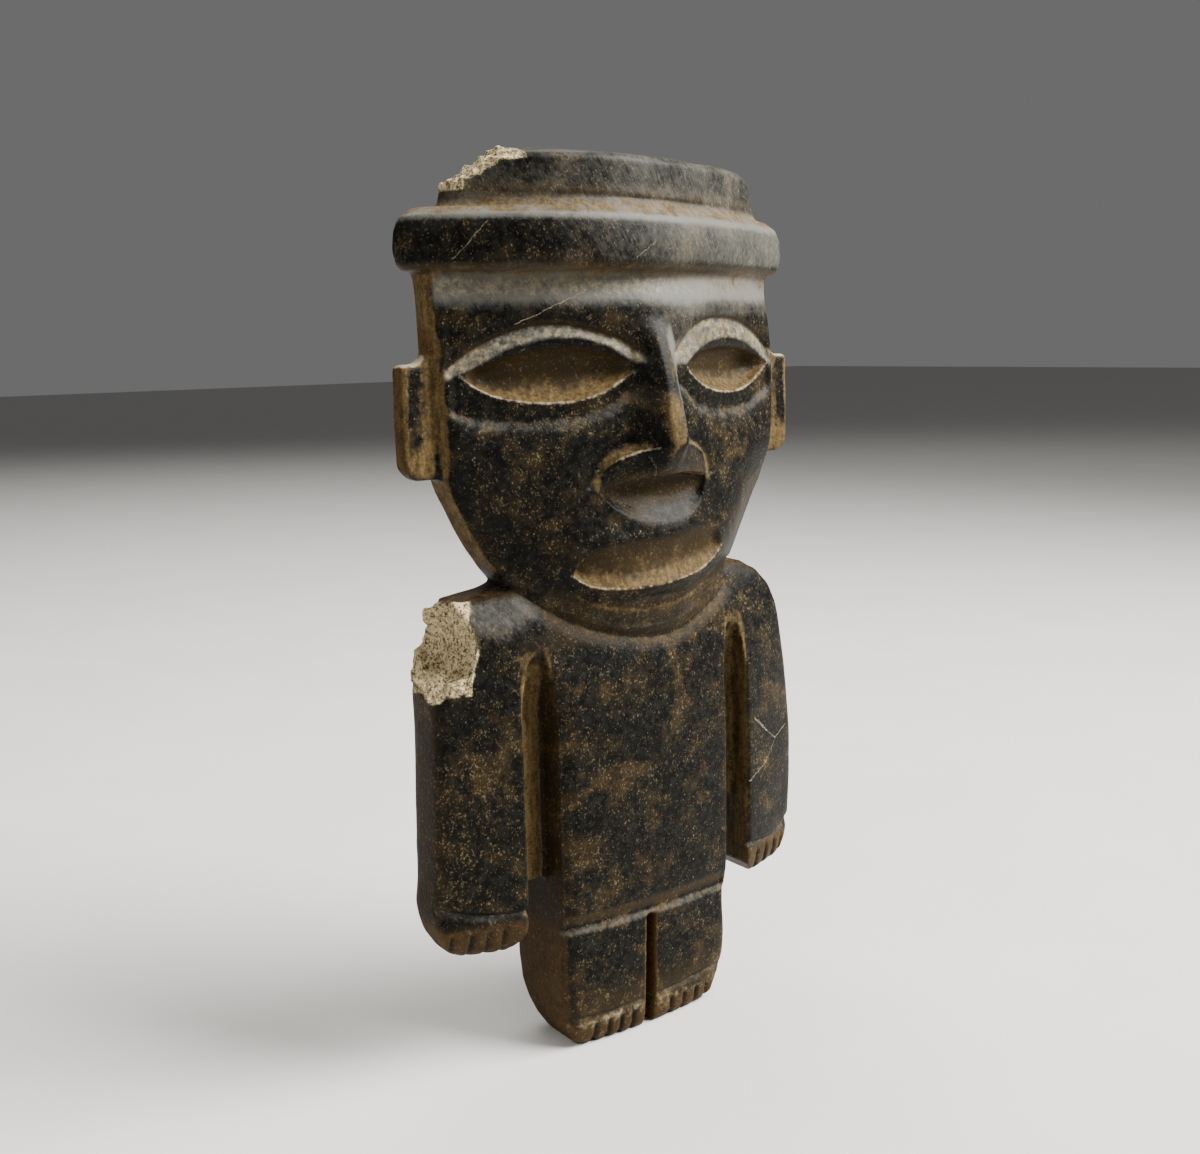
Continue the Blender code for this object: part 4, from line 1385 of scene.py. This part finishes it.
    def _soften(self, thing: bpy.types.Object, solid: bpy.types.Object) -> None:
        """Smooths the facets out of the broad surfaces, and then the edges a little.

        Args:
            thing: the remeshed copy.
            solid: the figure's solid.
        """
        tree = self._creases(solid)
        away = np.array([tree.find(vert.co)[2] for vert in thing.data.vertices]) / MM
        broad = ease(0.8, 3.0, away)
        group = thing.vertex_groups.new(name="broad")
        for step in range(1, 11):
            chosen = np.nonzero(np.round(broad * 10) == step)[0]
            group.add(chosen.tolist(), step / 10, "REPLACE")
        apply_modifier(thing, "SMOOTH", factor=0.5, iterations=self.broad_rounds, vertex_group="broad")
        apply_modifier(thing, "SMOOTH", factor=0.5, iterations=self.edge_rounds)

    def _fracture(self, skin: Skin, solid: bpy.types.Object) -> Array:
        """Roughens the fractures.

        Args:
            skin: the surface, whose points are moved.
            solid: the solid, which holds the fractures' coarse form.

        Returns:
            1 for each point on a fracture, and 0 elsewhere.
        """
        fresh = np.zeros(len(skin.places))
        rough = Grain(11)
        for break_ in self.breaks:
            faces = break_.faces(solid)
            corners = [corner for face in faces for corner in face]
            triples = [(3 * i, 3 * i + 1, 3 * i + 2) for i in range(len(faces))]
            tree = BVHTree.FromPolygons(corners, triples)
            low, high = np.min(corners, axis=0) - 2.0, np.max(corners, axis=0) + 2.0
            near = np.nonzero(((skin.places > low) & (skin.places < high)).all(axis=1))[0]
            away = np.array([tree.find_nearest(Vector(skin.places[i]))[3] for i in near])
            past = skin.x[near] - break_.end + 0.8 * rough.at(skin.places[near] + 4.0, 2.4)
            away += 0.4 * rough.at(skin.places[near] + 7.0, 1.6)
            here = fall(0.3, 0.7, away) * fall(-0.5, 0.5, past)
            fresh[near] = np.maximum(fresh[near], here)
            lumps = 0.8 * rough.at(skin.places[near] + 9.0, 4.5) + rough.at(skin.places[near], 2.2)
            lumps += 0.6 * rough.at(skin.places[near], 1.0)
            step = break_.grain * lumps * here
            skin.places[near] += skin.facing[near] * step[:, None]
            log.info("%s fracture: %d faces of the solid", break_.name, len(faces))
        return fresh

    def _weather(self, skin: Skin, fresh: Array) -> None:
        """Gives the polished skin its hand-made waves, and its edges small nicks.

        Args:
            skin: the surface, whose points are moved.
            fresh: 1 for each point on a fracture, and 0 elsewhere.
        """
        waves, nicks = Grain(3), Grain(5)
        wave = sum(depth * waves.at(skin.places + shift, size) for depth, size, shift in self.waves)
        edge = ease(0.05, 0.3, skin.bulge(6))
        nick = edge * ease(0.15, 0.75, nicks.at(skin.places, 1.6)) * 0.35
        nick += edge * ease(0.3, 0.8, nicks.at(skin.places + 30.0, 4.0)) * 0.4
        flat = ease(0.3, 1.2, skin.z)
        step = (wave - nick) * (1.0 - fresh) * flat
        skin.places += skin.facing * step[:, None]

    def _tint(self, skin: Skin, fresh: Array) -> None:
        """Works out where earth lies, edges are worn and the stone is brown, and where sheen, light and shade
        are painted, and keeps it in the mesh.

        Args:
            skin: the surface.
            fresh: 1 for each point on a fracture, and 0 elsewhere.
        """
        tints = Tints(len(skin.places))
        small, broad = skin.bulge(8), skin.bulge(90)
        tints.add(ease(0.05, 0.4, -small), earth=0.7)
        tints.add(ease(0.35, 1.8, -broad), earth=0.35)
        tints.add(ease(0.12, 0.42, small), wear_and_highlight=0.75)
        # Painted light on every surface that faces up.
        tints.add(ease(0.1, 0.5, skin.facing[:, 2]), dust_and_sheen=0.05)
        for part in (self.head, self.headdress, self.ears, self.torso, *self.arms, *self.feet):
            part.tint(skin, tints)
        for kind, values in tints.kept().items():
            skin.paint(kind, skin.spread(values, self.tint_rounds))
        skin.paint(Tint.FRESH, fresh)


class Value:
    """A number socket, on which Python's operators add Math nodes."""

    def __init__(self, bench: "Bench", socket: Socket) -> None:
        """Keeps the socket and the node tree that it is in."""
        self.bench = bench
        self.socket = socket

    def __add__(self, other: "Value | float") -> "Value":
        """The sum."""
        return self.bench.math("ADD", self, other)

    __radd__ = __add__

    def __sub__(self, other: "Value | float") -> "Value":
        """The difference."""
        return self.bench.math("SUBTRACT", self, other)

    def __rsub__(self, other: "Value | float") -> "Value":
        """The difference, taken from a plain number."""
        return self.bench.math("SUBTRACT", other, self)

    def __mul__(self, other: "Value | float") -> "Value":
        """The product."""
        return self.bench.math("MULTIPLY", self, other)

    __rmul__ = __mul__

    def step(self, low: float, high: float) -> "Value":
        """A smooth step.

        Args:
            low: the value at which it is 0.
            high: the value at which it is 1.

        Returns:
            The step.
        """
        settings = {"interpolation_type": "SMOOTHSTEP"}
        node = self.bench.node("ShaderNodeMapRange", settings, {0: self, 1: low, 2: high})
        return Value(self.bench, node.outputs[0])

    def clamped(self) -> "Value":
        """The number kept between 0 and 1."""
        node = self.bench.node("ShaderNodeClamp", {}, {0: self})
        return Value(self.bench, node.outputs[0])


class Bench:
    """The node tree of one material, and the nodes that are added to it."""

    def __init__(self, name: str) -> None:
        """Makes the material.

        Args:
            name: its name.
        """
        self.material = bpy.data.materials.new(name)
        self.material.use_nodes = True
        self.tree = self.material.node_tree
        self.shader = self.tree.nodes["Principled BSDF"]
        self.place = self.node("ShaderNodeTexCoord", {}, {}).outputs["Object"]

    def node(self, kind: str, settings: dict[str, Any], sockets: dict[int | str, Any]) -> bpy.types.Node:
        """Adds a node.

        Args:
            kind: its type.
            settings: its own settings, which are set first.
            sockets: for each input, by name or number, what is linked to it or the value it holds.

        Returns:
            The node.
        """
        node = self.tree.nodes.new(kind)
        for name, value in settings.items():
            setattr(node, name, value)
        for name, value in sockets.items():
            self.feed(node.inputs[name], value)
        return node

    def feed(self, socket: Socket, value: Any) -> None:
        """Links a socket, or sets the plain value that it holds.

        Args:
            socket: the input.
            value: what it is linked to, or the value it holds.
        """
        if isinstance(value, Value):
            value = value.socket
        if isinstance(value, Socket):
            self.tree.links.new(value, socket)
        elif isinstance(value, tuple) and socket.type == "RGBA":
            socket.default_value = (*value, 1.0)
        else:
            socket.default_value = value

    def math(self, operation: str, first: Value | float, second: Value | float) -> Value:
        """A Math node."""
        node = self.node("ShaderNodeMath", {"operation": operation}, {0: first, 1: second})
        return Value(self, node.outputs[0])

    def noise(self, size: float, seed: float, detail: float = 2.0, stretch: Colour | None = None,
              place: Socket | None = None) -> Value:
        """Noise from 0 to 1.

        Args:
            size: the size of its lumps, in millimetres.
            seed: which pattern it is.
            detail: how much finer noise it carries.
            stretch: the scale along each axis, below 1 to draw the lumps out.
            place: the point at which it is read, which is the object's own unless given.

        Returns:
            The noise.
        """
        place = place or self.place
        if stretch is not None:
            place = self.vector("MULTIPLY", place, stretch)
        settings = {"noise_dimensions": "4D"}
        sockets = {"Vector": place, "W": seed, "Scale": 1.0 / (size * MM), "Detail": detail}
        return Value(self, self.node("ShaderNodeTexNoise", settings, sockets).outputs[0])

    def grains(self, size: float, seed: float, share: float, radius: float) -> Value:
        """Small round grains.

        Args:
            size: how far apart they lie, in millimetres.
            seed: which pattern it is.
            share: the share of places that hold one.
            radius: a grain's radius, as a share of their distance.

        Returns:
            1 on a grain and 0 between them.
        """
        settings = {"voronoi_dimensions": "4D"}
        cells = self.node("ShaderNodeTexVoronoi", settings,
                          {"Vector": self.place, "W": seed, "Scale": 1.0 / (size * MM)})
        spot = 1.0 - Value(self, cells.outputs["Distance"]).step(radius * 0.6, radius)
        split = self.node("ShaderNodeSeparateColor", {}, {0: cells.outputs["Color"]})
        return spot * Value(self, split.outputs[0]).step(1.0 - share, 1.0 - share + 0.02)

    def tint(self, kind: Tint) -> Value:
        """The mesh's attribute for that tint."""
        node = self.node("ShaderNodeAttribute", {"attribute_name": kind.value}, {})
        return Value(self, node.outputs["Fac"])

    def mix(self, share: Value | float, first: Any, second: Any) -> Socket:
        """A colour that share of the way from the first to the second."""
        node = self.node("ShaderNodeMix", {"data_type": "RGBA"}, {0: share, 6: first, 7: second})
        return node.outputs[2]

    def vector(self, operation: str, first: Any, second: Any) -> Socket:
        """A Vector Math node's vector."""
        return self.node("ShaderNodeVectorMath", {"operation": operation}, {0: first, 1: second}).outputs[0]

    def length(self, vector: Socket) -> Value:
        """A vector's length."""
        return Value(self, self.node("ShaderNodeVectorMath", {"operation": "LENGTH"}, {0: vector}).outputs[1])

    def dot(self, first: Any, second: Any) -> Value:
        """The dot product of two vectors."""
        settings = {"operation": "DOT_PRODUCT"}
        return Value(self, self.node("ShaderNodeVectorMath", settings, {0: first, 1: second}).outputs[1])


@dataclass(frozen=True)
class Scratch:
    """A pale line in the polish of the front: its two ends, its width and how plain it is."""

    start: Place
    end: Place
    width: float = 0.35
    strength: float = 0.8

    def mask(self, bench: Bench, place: Socket) -> Value:
        """Draws the line.

        Args:
            bench: the material's nodes.
            place: the point at which it is read.

        Returns:
            Its strength on the line and 0 off it.
        """
        start = (self.start[0] * MM, 0.0, self.start[1] * MM)
        way = ((self.end[0] - self.start[0]) * MM, 0.0, (self.end[1] - self.start[1]) * MM)
        long = way[0] ** 2 + way[2] ** 2
        offset = bench.vector("MULTIPLY", bench.vector("SUBTRACT", place, start), (1.0, 0.0, 1.0))
        share = (bench.dot(offset, way) * (1.0 / long)).clamped()
        reach = bench.node("ShaderNodeVectorMath", {"operation": "SCALE"}, {0: way, 3: share}).outputs[0]
        away = bench.length(bench.vector("SUBTRACT", offset, reach))
        return (1.0 - away.step(0.3 * self.width * MM, self.width * MM)) * self.strength


class StonePatterns:
    """The patterns over the stone, and the masks that they and the mesh's tints give its layers."""

    def __init__(self, bench: Bench, brushed: float) -> None:
        """Makes the patterns that more than one layer reads.

        Args:
            bench: the material's nodes.
            brushed: how far the polish's streaks are turned.
        """
        self.bench = bench
        self.tint = {kind: bench.tint(kind) for kind in Tint if kind is not Tint.DARK}
        self.broad = bench.noise(11.0, 1.0, 3.0)
        self.middle = bench.noise(4.5, 2.0, 4.0)
        self.small = bench.noise(1.7, 3.0, 4.0)
        self.tiny = bench.noise(0.6, 4.0, 2.0)
        self.fine = bench.noise(0.42, 7.0, 4.0, (1.0, 1.0, 0.75))
        self.coarse = bench.noise(0.95, 12.0, 3.0)
        turned = bench.node("ShaderNodeVectorRotate", {"rotation_type": "Y_AXIS"},
                            {"Vector": bench.place, "Angle": brushed}).outputs[0]
        self.streak = bench.noise(0.42, 8.0, 3.0, (0.12, 1.0, 1.0), turned)
        self.cloud = (self.broad * 0.35 + self.middle * 0.65 + self.tint[Tint.OCHRE] * 0.14).step(0.42, 0.7)
        self.grit = self.fine * 0.4 + self.coarse * 0.25 + self.small * 0.15 + self.tiny * 0.2

    def stain(self) -> Value:
        """Where the stone is brown: brown clouds, and the brown tint of the mesh, which along a few lines is
        painted shade.
        """
        clouds = self.broad.step(0.46, 0.62) * 0.7 * self.middle.step(0.4, 0.62)
        return (clouds + self.tint[Tint.BROWN] * 0.9).clamped()

    def crust(self) -> Value:
        """Where ochre crust sits on the stone."""
        speck = (self.fine * 0.55 + self.coarse * 0.45).step(0.49, 0.6)
        return (self.cloud * (0.08 + speck * 0.66) * (0.4 + self.tint[Tint.OCHRE] * 0.5)).clamped()

    def sheen_mask(self) -> Value:
        """Where sheen is painted, with brushed streaks."""
        sheen_mask = self.tint[Tint.DUST_AND_SHEEN] + (self.small - 0.5) * 0.4 + (self.streak - 0.5) * 0.45
        return (sheen_mask + (self.broad - 0.5) * 0.5).step(0.08, 1.05)

    def dots(self) -> Value:
        """Fine pale flecks, thicker where the clouds are, and round grains of two sizes.

        Returns:
            Their strength.
        """
        flecks = (self.fine * 0.7 + self.coarse * 0.3).step(0.555, 0.64) * (0.3 + self.cloud * 0.5)
        flecks = flecks + self.bench.grains(0.85, 6.0, 0.08, 0.3) * 0.7
        return flecks + self.bench.grains(1.6, 14.0, 0.05, 0.2) * 1.2

    def soil(self) -> Value:
        """Where earth lies in the hollows."""
        soil = self.tint[Tint.EARTH] * 1.25 + (self.middle - 0.5) * 1.1 + (self.small - 0.5) * 0.9
        return soil.step(0.3, 0.85)

    def mottle(self) -> Value:
        """Where that earth is dark, in runs that go down."""
        runs = self.bench.noise(1.3, 9.0, 3.0, (1.0, 1.0, 0.14))
        return (self.tiny * 0.35 + self.middle * 0.25 + runs * 0.4).step(0.38, 0.62)

    def warm(self) -> Value:
        """Where the stone is rusty."""
        warm = self.tint[Tint.RUST] * 1.1 + (self.small - 0.5) * 1.1 + (self.middle - 0.5) * 0.8
        return warm.step(0.3, 1.0)

    def rub_and_highlight(self) -> Value:
        """Where the polish is worn through to pale stone, and where highlights are painted pale."""
        rub_and_highlight = self.tint[Tint.WEAR_AND_HIGHLIGHT] * 1.2 + (self.small - 0.5) * 0.9 + (self.tiny - 0.5) * 0.6
        return rub_and_highlight.step(0.3, 0.9)


@dataclass(frozen=True)
class StoneFinish:
    """Green-black stone under an old polish, with brown stains, ochre crust, earth and worn edges, and
    painted sheen, highlights and shade.
    """

    black: Colour = (0.0014, 0.0014, 0.0012)
    green: Colour = (0.0056, 0.006, 0.0046)
    brown: Colour = (0.0215, 0.014, 0.0056)
    ochre: Colour = (0.10, 0.07, 0.031)
    grain: Colour = (0.20, 0.165, 0.095)
    sheen_grey: Colour = (0.135, 0.133, 0.115)
    # Pale grey that stands in for the polish's sheen: painted sheen.
    earth: Colour = (0.125, 0.083, 0.033)
    pale: Colour = (0.30, 0.25, 0.165)
    rust: Colour = (0.062, 0.032, 0.0095)
    fresh: Colour = (0.50, 0.41, 0.24)
    pit: Colour = (0.06, 0.045, 0.02)
    scratches: tuple[Scratch, ...] = (
        Scratch((-36.8, 194.6), (-16.0, 204.2), 0.2, 0.5),
        Scratch((-51.8, 209.9), (-45.0, 218.6), 0.2, 0.3),
        Scratch((-8.9, 210.4), (-3.4, 214.0), 0.2, 0.35),
        Scratch((-6.4, 161.2), (-3.6, 155.2), 0.2, 0.2),
        Scratch((41.6, 81.3), (47.6, 76.2), 0.4, 0.5),
        Scratch((47.6, 76.2), (52.4, 72.8), 0.28, 0.35),
        Scratch((52.4, 72.8), (59.0, 75.4), 0.28, 0.35),
        Scratch((52.4, 72.4), (47.0, 66.6), 0.25, 0.25),
        Scratch((47.0, 66.6), (38.9, 63.0), 0.3, 0.4))
    scratch_limit: float = 4.0
    scratch_wobble: float = 1.1
    brushed: float = math.radians(-58)
    polish: float = 0.44
    gloss: float = 0.05
    dull: float = 0.72
    relief: float = 0.4
    relief_strength: float = 0.6

    def _lines(self, bench: Bench) -> Value:
        """The scratches in the front, which waver a little.

        Args:
            bench: the material's nodes.

        Returns:
            Their strength.
        """
        wobble = bench.node("ShaderNodeTexNoise", {}, {"Vector": bench.place, "Scale": 600.0, "Detail": 2.0})
        centred = bench.vector("SUBTRACT", wobble.outputs["Color"], (0.5, 0.5, 0.5))
        shift = bench.vector("MULTIPLY", centred, (self.scratch_wobble * MM,) * 3)
        drawn = bench.vector("ADD", bench.place, shift)
        split = bench.node("ShaderNodeSeparateXYZ", {}, {0: bench.place})
        depth = Value(bench, split.outputs[1])
        lines: Value | float = 0.0
        for scratch in self.scratches:
            lines = scratch.mask(bench, drawn) + lines
        return lines * (1.0 - depth.step((self.scratch_limit - 1.0) * MM, self.scratch_limit * MM))

    def _raw(self, bench: Bench, seen: StonePatterns) -> Socket:
        """The colour of freshly broken stone."""
        raw = bench.mix(seen.grit.step(0.41, 0.565), self.pit, self.fresh)
        return bench.mix((seen.middle * 0.5 + seen.small * 0.5).step(0.46, 0.66) * 0.5, raw, self.ochre)

    def make(self) -> bpy.types.Material:
        """Builds the material, from the polish up to the fresh fractures.

        Returns:
            The material.
        """
        bench = Bench("dark_stone")
        seen = StonePatterns(bench, self.brushed)
        crust, dots, soil, warm, rub_and_highlight = seen.crust(), seen.dots(), seen.soil(), seen.warm(), seen.rub_and_highlight()
        lines = (self._lines(bench) * seen.tiny.step(0.3, 0.6)).clamped()
        fresh = seen.tint[Tint.FRESH]

        colour = bench.mix(seen.small.step(0.38, 0.66), self.black, self.green)
        colour = bench.mix(seen.stain(), colour, self.brown)
        colour = bench.mix(crust, colour, self.ochre)
        # Painted sheen, pale grey where the polish would catch the light.
        colour = bench.mix(seen.sheen_mask() * 0.72, colour, self.sheen_grey)
        colour = bench.mix((dots * 0.5).clamped(), colour, self.grain)
        colour = bench.mix(soil * 0.85, colour, bench.mix(seen.mottle() * 0.85, self.earth, self.brown))
        rusty = bench.mix((seen.middle * 0.4 + seen.small * 0.6).step(0.4, 0.6), self.rust, self.brown)
        rusty = bench.mix((seen.fine * 0.5 + seen.small * 0.5).step(0.53, 0.66) * 0.7, rusty, self.earth)
        colour = bench.mix(warm * 0.86, colour, rusty)
        # Worn pale stone, and painted highlights.
        colour = bench.mix(rub_and_highlight * 0.85, colour, self.pale)
        colour = bench.mix(lines, colour, self.pale)
        colour = bench.mix(fresh, colour, self._raw(bench, seen))

        dullness = (soil * 0.8 + warm * 0.5 + rub_and_highlight * 0.7 + crust * 0.8 + fresh + dots * 0.3).clamped()
        rough = self.polish + (self.dull - self.polish) * dullness + (seen.small - 0.5) * 0.12
        height = seen.small * 0.5 + seen.tiny * 0.3 + seen.streak * 0.25 - dots * 0.3 - lines * 0.4
        height = height + crust * 0.3 + fresh * (seen.grit * 5.0)
        bump = bench.node("ShaderNodeBump", {}, {"Strength": self.relief_strength,
                                                 "Distance": self.relief * MM, "Height": height})
        bench.feed(bench.shader.inputs["Base Color"], colour)
        bench.feed(bench.shader.inputs["Roughness"], rough)
        bench.feed(bench.shader.inputs["Normal"], bump.outputs[0])
        bench.shader.inputs["Specular IOR Level"].default_value = self.gloss
        return bench.material


@dataclass(frozen=True)
class FloorFinish:
    """A plain pale matt floor."""

    colour: Colour = (0.52, 0.51, 0.49)
    roughness: float = 0.8

    def make(self) -> bpy.types.Material:
        """Builds the material.

        Returns:
            The material.
        """
        bench = Bench("pale_floor")
        mottle = bench.noise(60.0, 9.0).step(0.3, 0.7)
        darker = tuple(part * 0.96 for part in self.colour)
        bench.feed(bench.shader.inputs["Base Color"], bench.mix(mottle, self.colour, darker))
        bench.shader.inputs["Roughness"].default_value = self.roughness
        return bench.material


@dataclass(frozen=True)
class Lamp:
    """A soft box that hangs round the figure and faces its middle."""

    name: str
    azimuth: float
    elevation: float
    distance: float
    size: float
    power: float
    spread: float
    colour: Colour

    def hang(self, target: Vector) -> None:
        """Makes the light. Azimuth 0 is in front of the figure and 90 on its +X side.

        Args:
            target: the point that it faces.
        """
        turn, rise = math.radians(self.azimuth), math.radians(self.elevation)
        way = Vector((math.sin(turn) * math.cos(rise), -math.cos(turn) * math.cos(rise), math.sin(rise)))
        bpy.ops.object.light_add(type="AREA", location=target + way * self.distance)
        light = bpy.context.object
        light.name = self.name
        light.rotation_euler = way.to_track_quat("Z", "Y").to_euler()
        light.data.size = self.size
        light.data.energy = self.power
        light.data.spread = math.radians(self.spread)
        light.data.color = self.colour


@dataclass(frozen=True)
class Studio:
    """The floor, the lights and the camera."""

    target: Vector = Vector((0.0, 0.0, 0.13))
    floor_size: float = 12.0
    sky: Colour = (0.56, 0.56, 0.56)
    sky_strength: float = 0.27
    camera_place: tuple[float, float, float] = (-0.2177, -0.2826, 0.1904)
    yaw: float = math.radians(36.153)
    pitch: float = math.radians(9.961)
    roll: float = math.radians(-1.178)
    lens: float = 40.5
    lamps: tuple[Lamp, ...] = (
        Lamp("key_softbox", 50.0, 40.0, 1.6, 1.1, 38.0, 80.0, (1.0, 0.985, 0.96)),
        Lamp("left_softbox", -75.0, 42.0, 1.8, 1.0, 4.0, 80.0, (1.0, 0.97, 0.92)),
        Lamp("top_softbox", 160.0, 60.0, 2.2, 1.6, 20.0, 120.0, (1.0, 0.98, 0.96)))

    def build(self) -> None:
        """Makes the studio."""
        bpy.ops.mesh.primitive_plane_add(size=self.floor_size)
        floor = bpy.context.object
        floor.name = "floor"
        floor.data.materials.append(FloorFinish().make())
        world = bpy.data.worlds.new("studio")
        world.use_nodes = True
        sky = world.node_tree.nodes["Background"]
        sky.inputs[0].default_value = (*self.sky, 1.0)
        sky.inputs[1].default_value = self.sky_strength
        bpy.context.scene.world = world
        for lamp in self.lamps:
            lamp.hang(self.target)
        bpy.ops.object.camera_add()
        camera = bpy.context.object
        turn = Matrix.Rotation(-self.yaw, 4, "Z") @ Matrix.Rotation(math.pi / 2 - self.pitch, 4, "X")
        turn = turn @ Matrix.Rotation(self.roll, 4, "Z")
        camera.matrix_world = Matrix.Translation(self.camera_place) @ turn
        camera.data.lens = self.lens
        camera.data.sensor_width = 36.0
        camera.data.clip_start = 0.01
        bpy.context.scene.camera = camera
        log.info("studio: %d lamps", len(self.lamps))


def only(thing: bpy.types.Object) -> None:
    """Selects one object alone and makes it the active one.

    Args:
        thing: the object.
    """
    for other in bpy.context.selected_objects:
        other.select_set(False)
    bpy.context.view_layer.objects.active = thing
    thing.select_set(True)


def apply_modifier(thing: bpy.types.Object, kind: str, **settings: Any) -> None:
    """Adds a modifier to an object and applies it.

    Args:
        thing: the object.
        kind: the modifier's type.
        settings: its settings, by name.
    """
    only(thing)
    modifier = thing.modifiers.new(kind.lower(), kind)
    for name, value in settings.items():
        setattr(modifier, name, value)
    bpy.ops.object.modifier_apply(modifier=modifier.name)


def main() -> None:
    """Builds the figure and the studio."""
    logging.basicConfig(level=logging.INFO, format="%(message)s")
    bpy.ops.object.select_all(action="DESELECT")
    figure = Figure().build()
    figure.data.materials.append(StoneFinish().make())
    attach(figure, "root")
    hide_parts(NODE)
    Studio().build()


if __name__ == "__main__":
    main()
